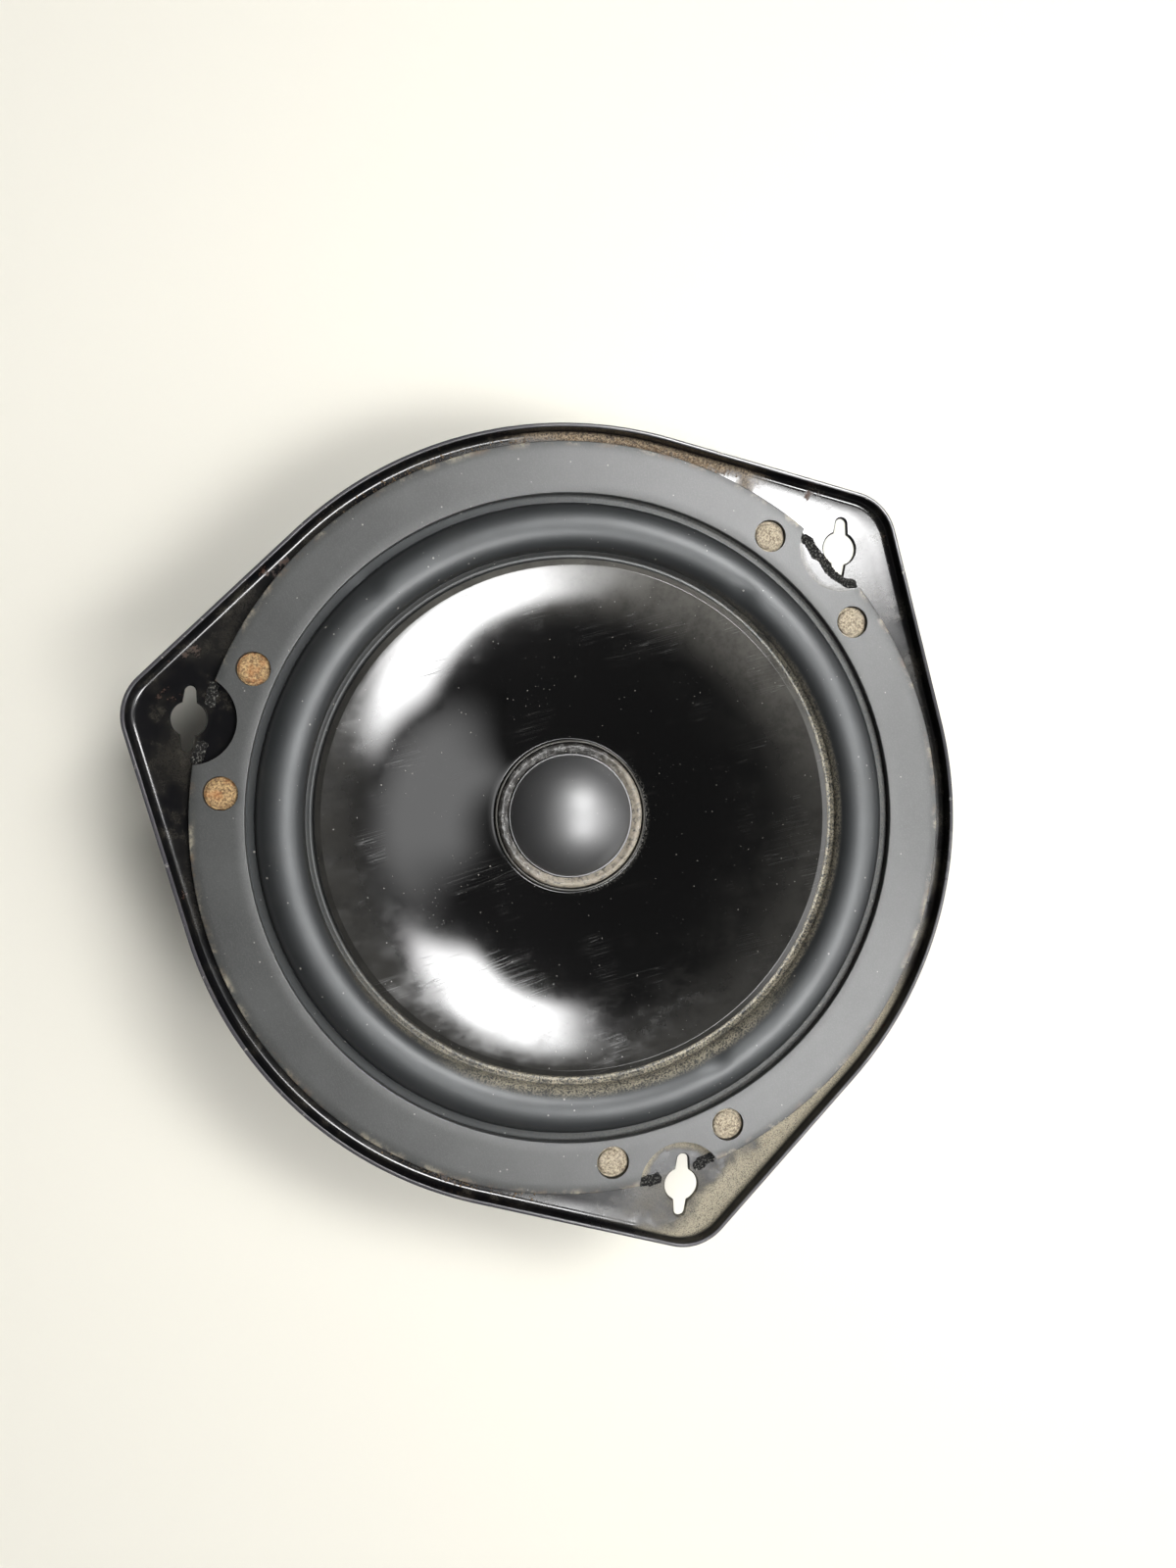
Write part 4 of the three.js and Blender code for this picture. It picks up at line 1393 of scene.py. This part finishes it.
@dataclass(frozen=True)
class Gasket:
    """The die-cut fibre ring on the surround's flange."""

    inner: float = 71.0
    outer: float = 82.3
    base: float = 55.55
    top: float = 57.3
    hole_radius: float = 3.6
    notch_radius: float = 9.6

    def build(self, shop: Workshop, surround: Surround, board: Finish) -> None:
        """Builds the ring."""
        section = washer_path(self.inner, self.outer, self.base, self.top, 0.22)
        section = densified(section, 2.5, closed=True)
        piece = shop.piece("gasket_board", spun(section, 300), board, Body.FRAME, "gasket_ring")
        carved(piece, surround.rim_tools(self.hole_radius, self.notch_radius))
        reshaded(piece, 40)


@dataclass(frozen=True)
class Spider:
    """The corrugated cloth centring ring behind the cone."""

    inner: float = 13.05
    wave_start: float = 14.2
    wave_end: float = 36.2
    period: float = 22 / 3
    mid: float = 31.8
    swing: float = 0.88
    wall: float = 0.5
    shelf: float = 31.55
    outer: float = 45.0

    def front_path(self) -> list[Point]:
        """Gives the front face from the neck to the shelf."""
        path: list[Point] = [(self.inner, self.mid + 0.25), (13.5, self.mid + 0.45)]
        steps = 72
        for index in range(steps + 1):
            share = index / steps
            radius = self.wave_start + (self.wave_end - self.wave_start) * share
            turn = FULL_TURN * (radius - self.wave_start) / self.period
            path.append((radius, self.mid + self.swing * math.cos(turn)))
        return [*path, (36.7, self.mid + 0.6), (37.2, self.mid + 0.1), (37.9, self.shelf),
                (40, self.shelf), (42.5, self.shelf), (self.outer, self.shelf)]

    def moving_share(self, place: Vector) -> float:
        """Gives how far a place follows the coil."""
        return 1 - smoothstep(14.2, 36.2, place.xy.length / MM)

    def build(self, shop: Workshop, cloth: Finish) -> None:
        """Builds the spider and lets it bend."""
        ring = spun(thickened(self.front_path(), self.wall), 160)
        piece = shop.piece("spider_cloth_ring", ring, cloth, None, "spider", crease=60)
        bent(piece, self.moving_share)


# ---- terminals and leads --------------------------------------------------------------------


@dataclass(frozen=True)
class Terminals:
    """The fibre board with its two blades, eyelets and rivets."""

    seat: TerminalSeat
    board_base: float = 2.1
    board_top: float = 3.6
    tab_base: float = 3.9
    tab_width: float = 4.8
    tab_thickness: float = 0.8
    tab_foot: float = 6.0
    blade: float = 11.0

    def slab(self, size: Sequence[float], centre: Sequence[float], edge: float) -> bmesh.types.BMesh:
        """Makes a box with rounded edges in the seat's own frame."""
        mesh = bmesh.new()
        place = Matrix.Translation([value * MM for value in centre])
        bmesh.ops.create_cube(mesh, size=MM, matrix=place @ Matrix.Diagonal((*size, 1)))
        bmesh.ops.bevel(mesh, geom=mesh.edges[:], offset=edge * MM, segments=3, profile=0.5, affect="EDGES",
                        material=-1)
        return mesh

    def pin(self, shank: float, head: float, inner: float, outer: float, place: Point) -> bmesh.types.BMesh:
        """Makes a headed pin with a rolled, hollow outer head."""
        path = filleted([(0, inner - 0.5, 0), (head, inner - 0.5, 0.2), (head, inner, 0.15),
                         (shank, inner, 0), (shank, outer, 0), (head, outer, 0.12),
                         (head * 0.92, outer + 0.38, 0.25),
                         (head * 0.5, outer + 0.5, 0.25), (head * 0.36, outer - 0.3, 0.1),
                         (0, outer - 0.4, 0)])
        mesh = spun(path, 32, closed=False)
        bmesh.ops.translate(mesh, verts=mesh.verts, vec=(place[0] * MM, place[1] * MM, 0))
        return self.seat.set_on(mesh)

    def tab(self, side: int) -> bmesh.types.BMesh:
        """Makes one bent blade in the seat's own frame: foot, bend and tapered tip."""
        thick = self.tab_thickness
        half = self.tab_foot / 2
        path = filleted([(-half, 0, 0), (half, 0, 1.0), (half, self.blade, 0)], steps=6)
        profile = thickened(path, -thick)
        mesh = bmesh.new()
        left = side * self.seat.spacing - self.tab_width / 2
        verts = [mesh.verts.new((left * MM, y * MM, (self.tab_base + z) * MM)) for y, z in profile]
        face = mesh.faces.new(verts)
        grown = bmesh.ops.extrude_face_region(mesh, geom=[face])["geom"]
        moved_verts = [item for item in grown if isinstance(item, bmesh.types.BMVert)]
        bmesh.ops.translate(mesh, verts=moved_verts, vec=(self.tab_width * MM, 0, 0))
        bmesh.ops.recalc_face_normals(mesh, faces=mesh.faces)
        for vert in mesh.verts:
            tip = smoothstep(self.tab_base + self.blade - 0.1, self.tab_base + self.blade, vert.co.z / MM)
            middle = side * self.seat.spacing * MM
            vert.co.x = middle + (vert.co.x - middle) * (1 - 0.22 * tip)
        bmesh.ops.bevel(mesh, geom=[edge for edge in mesh.edges if edge.calc_face_angle(0) > 1.0],
                        offset=0.12 * MM, segments=2, profile=0.5, affect="EDGES", material=-1)
        return self.seat.set_on(mesh)

    def build(self, shop: Workshop, fibre: Finish, brass: Finish, steel: Finish) -> None:
        """Builds the terminals' pieces."""
        middle = (self.board_base + self.board_top) / 2
        slab = self.slab((22, 15, self.board_top - self.board_base), (0, 0, middle), 0.25)
        board = shop.piece("terminal_board_plate", self.seat.set_on(slab), fibre, Body.FRAME,
                           "terminal_board")
        holes = [self.seat.set_on(round_bar(1.3, 0, 6, place, 24)) for place in self.seat.pins()]
        carved(board, holes)
        reshaded(board, 32)
        for sign, side in (("negative", -1), ("positive", 1)):
            tab = shop.piece(f"blade_{sign}", self.tab(side), brass, Body.FRAME, f"terminal_tab_{sign}")
            place = (side * self.seat.spacing, 0)
            carved(tab, [self.seat.set_on(round_bar(1.3, 3, 5, place, 24))])
            reshaded(tab, 32)
            pin = self.pin(1.1, 1.9, 2.05, 4.75, place)
            shop.piece(f"eyelet_{sign}", pin, brass, Body.FRAME, f"tab_eyelet_{sign}")
        for name, side in (("upper", -1), ("lower", 1)):
            pin = self.pin(1.15, 2.1, -0.15, 3.65, (0, side * self.seat.rivet_spacing))
            shop.piece(f"board_pin_{name}", pin, steel, Body.FRAME, f"board_rivet_{name}")


@dataclass(frozen=True)
class Leads:
    """The two braided leads from the terminals to the cone, and their glue dots."""

    seat: TerminalSeat
    cone: Cone
    radius: float = 0.6
    stations: int = 220
    around: int = 16
    route: tuple[tuple[float, float, float], ...] = (
        (6, 55.2, 43.8), (5.9, 51, 44.2), (5.6, 45, 41.2), (5.2, 38, 38.6), (4.7, 31, 38.4),
        (4.2, 26.6, 40.2), (4, 25, 41.7))

    def centreline(self, side: int) -> list[Vector]:
        """Gives evenly numbered points on a smooth curve through the route, in metres."""
        start = self.seat.matrix() @ Vector((side * self.seat.spacing * MM, 0, 1.2 * MM))
        knots = [start, *[Vector((side * x, y, z)) * MM for x, y, z in self.route]]
        knots = [2 * knots[0] - knots[1], *knots, 2 * knots[-1] - knots[-2]]
        points = []
        spans = len(knots) - 3
        for index in range(self.stations + 1):
            place = index / self.stations * spans
            first = min(int(place), spans - 1)
            share = place - first
            a, b, c, d = knots[first:first + 4]
            points.append(0.5 * (2 * b + (c - a) * share + (2 * a - 5 * b + 4 * c - d) * share ** 2
                                 + (3 * b - a - 3 * c + d) * share ** 3))
        return points

    def lead(self, side: int) -> bmesh.types.BMesh:
        """Makes one lead, with two crossed sets of threads raised on it."""
        line = self.centreline(side)
        mesh = bmesh.new()
        bmesh.ops.create_grid(mesh, x_segments=self.around, y_segments=self.stations, size=0.5)
        for vert in mesh.verts:
            turn = (vert.co.x + 0.5) * FULL_TURN
            station = round((vert.co.y + 0.5) * self.stations)
            ahead = line[min(station + 1, self.stations)] - line[max(station - 1, 0)]
            sideways = Vector((1, 0, 0))
            upward = ahead.cross(sideways).normalized()
            sideways = upward.cross(ahead).normalized()
            twist = station * 0.32
            threads = abs(math.sin(2 * turn + twist)) + abs(math.sin(2 * turn - twist))
            reach = self.radius * (0.84 + 0.08 * threads) * MM
            vert.co = line[station] + (sideways * math.cos(turn) + upward * math.sin(turn)) * reach
        bmesh.ops.remove_doubles(mesh, verts=mesh.verts, dist=1e-6)
        bmesh.ops.holes_fill(mesh, edges=mesh.edges)
        bmesh.ops.recalc_face_normals(mesh, faces=mesh.faces)
        return mesh

    def joint(self, side: int) -> bmesh.types.BMesh:
        """Makes the dot of adhesive where a lead meets the cone's back."""
        mesh = bmesh.new()
        radius = 25.0
        height = self.cone.height(math.hypot(radius, 4)) - self.cone.wall - 0.62
        slope = math.atan((self.cone.height(radius + 1) - self.cone.height(radius - 1)) / 2)
        place = Matrix.Translation((side * 4 * MM, radius * MM, height * MM))
        turn = Matrix.Rotation(slope, 4, "X")
        bmesh.ops.create_uvsphere(mesh, u_segments=24, v_segments=14, radius=MM,
                                  matrix=place @ turn @ Matrix.Diagonal((1.6, 1.6, 0.7, 1)))
        return mesh

    def moving_share(self, place: Vector) -> float:
        """Gives how far a place on a lead follows the cone."""
        return 1 - smoothstep(27, 52, place.y / MM)

    def build(self, shop: Workshop, braid: Finish, glue: Finish) -> None:
        """Builds the leads and their glue."""
        for sign, side in (("negative", -1), ("positive", 1)):
            wire = shop.piece(f"braid_{sign}", self.lead(side), braid, None, f"lead_{sign}", crease=80)
            bent(wire, self.moving_share)
            dot = self.joint(side)
            shop.piece(f"lead_glue_{sign}", dot, glue, Body.MOVING, f"lead_joint_{sign}", crease=80)


# ---- dirt -----------------------------------------------------------------------------------


@dataclass(frozen=True)
class Grime:
    """Packed grit in the sight holes, dried glue in the notches and crumbs along the rim."""

    rim: LobedRim
    surround: Surround
    plug_radius: float = 2.75
    plug_top: float = 56.95
    ledge: float = 54.92
    smear_circle: float = 82.3
    plug_drift: float = 170.0
    smears: tuple[tuple[float, float, float, float], ...] = (
        (30.0, -6.3, 6.3, 1.9), (150.0, -6.2, -2.4, 0.6), (150.0, 2.6, 6.2, 0.6),
        (270.0, -6.4, -2.6, -0.1), (270.0, 2.5, 6.3, -0.5))
    brown_arcs: tuple[Point, ...] = ((80, 18), (60, 8), (56, 6), (66, 6), (236, 12), (100, 14))
    pale_arcs: tuple[Point, ...] = ((285, 10), (300, 14), (315, 12))
    seed: int = 7

    def plug(self, lobe: float, side: int) -> bmesh.types.BMesh:
        """Makes one gritty disc, set a little off its hole's centre, with a dusty ledge round it."""
        top = self.plug_top
        path = filleted([(0, self.ledge, 0), (3.0, self.ledge, 0), (3.0, 55.5, 0), (3.5, 55.52, 0),
                         (3.5, 56.2, 0.1), (self.plug_radius, 56.25, 0.1),
                         (self.plug_radius, top - 0.25, 0.2),
                         (self.plug_radius - 0.5, top, 0.4), (0, top - 0.1, 0)])
        mesh = spun(densified(path, 0.25), 48, closed=False)
        x, y = polar(self.surround.hole_circle * MM, lobe + side * self.surround.hole_spread)
        drift = Vector((*polar(0.42 * MM, self.plug_drift), 0))

        def gritty(place: Vector) -> Vector:
            """Shifts and roughens the disc's upper part."""
            lift = smoothstep(top - 0.6, top - 0.2, place.z / MM)
            here = place + Vector((x, y, 0)) + drift * smoothstep(56.18, 56.3, place.z / MM)
            rough = noise.noise(here * 900) * 0.22 + noise.noise(here * 2300) * 0.1
            return here + Vector((0, 0, rough * lift * MM))
        return moved(mesh, gritty)

    def smear(self, lobe: float, start: float, end: float, dip: float) -> bmesh.types.BMesh:
        """Makes a thin crooked smear of glue across a notch.

        Args:
            lobe: The notch's angle.
            start: Where the smear starts, in degrees from the notch's middle.
            end: Where it ends.
            dip: How far it bends towards the axis at the notch's middle.

        Returns:
            The smear.
        """
        inner, outer = [], []
        steps = 90
        for index in range(steps + 1):
            away = start + (end - start) * index / steps
            place = Vector(((lobe + away) * 0.35, start, 0))
            middle = self.smear_circle - dip * (1 - (away / 6.3) ** 2) + 0.8 * noise.noise(place)
            ends = min(index, steps - index) / steps
            half = (1.15 + 0.45 * noise.noise(place * 2.3)) * smoothstep(0, 0.12, ends + 0.02)
            ragged = (0.3 * noise.noise(place * 11), 0.3 * noise.noise(place * 11 + Vector((0, 0, 9))))
            inner.append(polar(middle - max(half + ragged[0], 0.1), lobe + away))
            outer.append(polar(middle + max(half + ragged[1], 0.1), lobe + away))
        return raised([*inner, *reversed(outer)], self.ledge, self.ledge + 0.14)

    def crumbs(self, count: int, arcs: Sequence[Point], inner: float, outer: float,
               largest: float, dice: random.Random) -> bmesh.types.BMesh:
        """Scatters small crumbs in the gutter outside the gasket.

        Args:
            count: How many crumbs.
            arcs: The middle and half-width, in degrees, of each dirty stretch.
            inner: The inset from the rim of the outermost crumbs.
            outer: The inset of the innermost crumbs.
            largest: The largest crumb's radius.
            dice: The source of chance.

        Returns:
            All crumbs as one mesh.
        """
        mesh = bmesh.new()
        for _ in range(count):
            middle, half = dice.choice(arcs)
            degrees = middle + dice.gauss(0, half / 2)
            radius = self.rim.radius(degrees, inner + (outer - inner) * dice.random() ** 0.7)
            size = largest * (0.25 + 0.75 * dice.random() ** 3)
            x, y = polar(radius * MM, degrees)
            place = Matrix.Translation((x, y, (self.ledge + size * 0.3) * MM))
            turn = Matrix.Rotation(dice.uniform(0, 6), 4, "Z") @ Matrix.Rotation(dice.uniform(0, 6), 4, "X")
            stretch = Matrix.Diagonal((size, size * dice.uniform(0.5, 1), size * dice.uniform(0.4, 0.8), 1))
            bmesh.ops.create_icosphere(mesh, subdivisions=1, radius=MM, matrix=place @ turn @ stretch)
        return mesh

    def build(self, shop: Workshop, rust: Finish, sand: Finish, soil: Finish, glue: Finish) -> None:
        """Builds all the dirt."""
        for lobe, dirt in zip(self.rim.lobes, (sand, rust, sand)):
            for side in (-1, 1):
                name = f"sight_hole_grit_{lobe:.0f}_{'left' if side > 0 else 'right'}"
                shop.piece(name, self.plug(lobe, side), dirt, Body.FRAME, crease=80)
        for index, (lobe, start, end, dip) in enumerate(self.smears):
            smear = self.smear(lobe, start, end, dip)
            shop.piece(f"notch_smear_{index + 1}", smear, glue, Body.FRAME, crease=50)
        dice = random.Random(self.seed)
        brown = self.crumbs(1500, self.brown_arcs, 1.5, 3.8, 0.3, dice)
        shop.piece("soil_crumbs", brown, soil, Body.FRAME, crease=20)
        pale = self.crumbs(900, self.pale_arcs, 1.7, 5.5, 0.22, dice)
        shop.piece("sand_crumbs", pale, sand, Body.FRAME, crease=20)


# ---- studio ---------------------------------------------------------------------------------


@dataclass(frozen=True)
class Panel:
    """A soft light panel, brightest in its middle, that faces the speaker's front.

    All panels have their width along one wall of the room.
    """

    name: str
    azimuth: float
    tilt: float
    distance: float
    width: float
    height: float
    radiance: float
    core: float = 0.3
    wall: float = -15.6

    def glow(self) -> bpy.types.Material:
        """Makes the panel's light, which fades towards its edges."""
        sheet = Sheet(self.name)
        fades = []
        for axis, size in ((Axis.X, self.width), (Axis.Y, self.height)):
            away = sheet.math("ABSOLUTE", sheet.along(axis))
            fades.append(sheet.ramp(away, size / 2 * self.core, size / 2, 1.0, 0.0))
        strength = sheet.times(sheet.times(*fades), self.radiance)
        sheet.set(Base_Color=(0.0, 0.0, 0.0), Emission_Color=(1.0, 1.0, 1.0), Emission_Strength=strength,
                  Roughness=1.0, Specular_IOR_Level=0.0)
        return sheet.material

    def build(self) -> None:
        """Hangs the panel."""
        mesh = bmesh.new()
        bmesh.ops.create_grid(mesh, x_segments=1, y_segments=1, size=0.5)
        bmesh.ops.scale(mesh, verts=mesh.verts, vec=(self.width, self.height, 1))
        data = bpy.data.meshes.new(self.name)
        mesh.to_mesh(data)
        mesh.free()
        data.materials.append(self.glow())
        x, y = polar(math.sin(math.radians(self.tilt)), self.azimuth)
        towards = Vector((x, y, math.cos(math.radians(self.tilt))))
        upward = towards.cross(Vector((*polar(1, self.wall), 0))).normalized()
        sideways = upward.cross(towards)
        lamp = bpy.data.objects.new(self.name, data)
        place = Matrix((sideways, upward, towards)).transposed().to_4x4()
        place.translation = towards * self.distance + Vector((0, 0, 0.057))
        lamp.matrix_world = place
        lamp.visible_camera = False
        bpy.context.scene.collection.objects.link(lamp)


@dataclass(frozen=True)
class Studio:
    """A pale table, the light panels, the surrounding dimness and the camera."""

    table_size: float = 3.0
    table: Colour = (0.64, 0.62, 0.55)
    overhead: float = 0.05
    horizon: float = 0.75
    lens: float = 25.0
    sensor: float = 36.0
    eye: tuple[float, float, float] = (-28.5, 17.4, 292.9)
    target: tuple[float, float, float] = (3.55, 6.8, 57.3)
    up: tuple[float, float, float] = (0.2689, 0.9632, 0.0)
    panels: tuple[Panel, ...] = (
        Panel("key_upper", 30.0, 27.0, 1.0, 0.50, 0.32, 46),
        Panel("key_lower", -56.0, 25.0, 1.0, 0.52, 0.28, 42),
        Panel("wall_glow", -26.0, 48, 1.4, 0.9, 1.5, 3.4, 0.3),
    )

    def floor(self) -> None:
        """Lays the table."""
        mesh = bmesh.new()
        bmesh.ops.create_grid(mesh, x_segments=1, y_segments=1, size=self.table_size / 2)
        data = bpy.data.meshes.new("table")
        mesh.to_mesh(data)
        mesh.free()
        sheet = Sheet("table_top")
        sheet.set(Base_Color=self.table, Roughness=0.6)
        data.materials.append(sheet.material)
        table = bpy.data.objects.new("table", data)
        bpy.context.scene.collection.objects.link(table)

    def camera(self) -> None:
        """Places the camera."""
        back = (Vector(self.eye) - Vector(self.target)).normalized()
        sideways = Vector(self.up).cross(back).normalized()
        upward = back.cross(sideways)
        place = Matrix((sideways, upward, back)).transposed().to_4x4()
        place.translation = Vector(self.eye) * MM
        data = bpy.data.cameras.new("camera")
        data.lens = self.lens
        data.sensor_width = self.sensor
        data.clip_start = 0.01
        camera = bpy.data.objects.new("camera", data)
        camera.matrix_world = place
        bpy.context.scene.collection.objects.link(camera)
        bpy.context.scene.camera = camera

    def room(self) -> None:
        """Makes a room that is dim overhead and pale at the height of the table."""
        world = bpy.data.worlds.new("room")
        world.use_nodes = True
        tree = world.node_tree
        direction = tree.nodes.new("ShaderNodeTexCoord").outputs["Generated"]
        split = tree.nodes.new("ShaderNodeSeparateXYZ")
        tree.links.new(direction, split.inputs[0])
        fade = tree.nodes.new("ShaderNodeMapRange")
        fade.interpolation_type = "SMOOTHSTEP"
        for index, value in enumerate((0.02, 0.3, self.horizon, self.overhead)):
            fade.inputs[index + 1].default_value = value
        tree.links.new(split.outputs[Axis.Z.value], fade.inputs[0])
        tree.links.new(fade.outputs[0], tree.nodes["Background"].inputs[1])
        tree.nodes["Background"].inputs[0].default_value = (1, 1, 1, 1)
        bpy.context.scene.world = world

    def build(self) -> None:
        """Sets up the whole studio."""
        self.floor()
        for panel in self.panels:
            panel.build()
        self.room()
        bpy.context.scene.view_settings.view_transform = "Standard"
        self.camera()


# ---- whole speaker --------------------------------------------------------------------------


def main() -> None:
    """Builds the speaker and the studio."""
    logging.basicConfig(level=logging.INFO, format="%(message)s")
    paint = GlossPaint().finish("basket_paint")
    steel = MachinedMetal("plated_steel", (0.42, 0.39, 0.32), (0.2, 0.15, 0.09)).finish("plated_steel")
    ferrite = GroundFerrite().finish("ferrite")
    board = FibreBoard().finish("gasket_board")
    rubber = SatinRubber().finish("surround_rubber")
    plastic = PolishedPlastic().finish("cone_plastic")
    coating = CapCoating().finish("cap_coating")
    cap_glue = DriedAdhesive("cap_adhesive").finish("adhesive")
    motor_glue = DriedAdhesive("motor_adhesive", clear=(0.02, 0.018, 0.015), dusty=0.15).finish("adhesive")
    film = PlainMoulding("former_film", (0.24, 0.1, 0.025), (0.16, 0.06, 0.015), 0.3).finish("former_film")
    wire = MachinedMetal("coil_wire", (0.5, 0.17, 0.06), (0.3, 0.09, 0.03), 0.25).finish("coil_wire")
    cloth = WovenCloth().finish("spider_cloth")
    fibre = PlainMoulding("terminal_fibre", (0.1, 0.042, 0.018), (0.06, 0.025, 0.012), 0.55)
    fibre = fibre.finish("terminal_board_fibre")
    brass = MachinedMetal("tinned_brass", (0.55, 0.52, 0.42), (0.3, 0.24, 0.13), 0.3, False)
    brass = brass.finish("tinned_brass")
    braid = BraidedCopper().finish("lead_braid")
    rust = Crust("rust_grit", (0.42, 0.29, 0.14), (0.1, 0.055, 0.025), (0.3, 0.1, 0.025)).finish()
    sand = Crust("sand_grit", (0.46, 0.40, 0.29), (0.13, 0.10, 0.07), (0.3, 0.26, 0.2)).finish()
    soil = Crust("soil_grit", (0.2, 0.13, 0.07), (0.05, 0.03, 0.015)).finish()
    tar = Crust("dried_glue", (0.3, 0.29, 0.26), (0.003, 0.003, 0.003), (0.01, 0.01, 0.01), 0.5, 0.15)
    tar = tar.finish()

    shop = Workshop()
    rim = LobedRim()
    seat = TerminalSeat()
    surround = Surround(rim)
    cone = Cone()
    Basket(rim, seat, ScrewHoles()).build(shop, paint)
    Motor().build(shop, steel, ferrite, motor_glue)
    Gasket().build(shop, surround, board)
    surround.build(shop, rubber)
    cone.build(shop, plastic)
    CapAndBead().build(shop, coating, cap_glue)
    VoiceCoil().build(shop, film, wire, motor_glue)
    Spider().build(shop, cloth)
    Terminals(seat).build(shop, fibre, brass, steel)
    Leads(seat, cone).build(shop, braid, motor_glue)
    Grime(rim, surround).build(shop, rust, sand, soil, tar)
    Studio().build()
    LOG.info("%d pieces in all", len(shop.made))


if __name__ == "__main__":
    main()
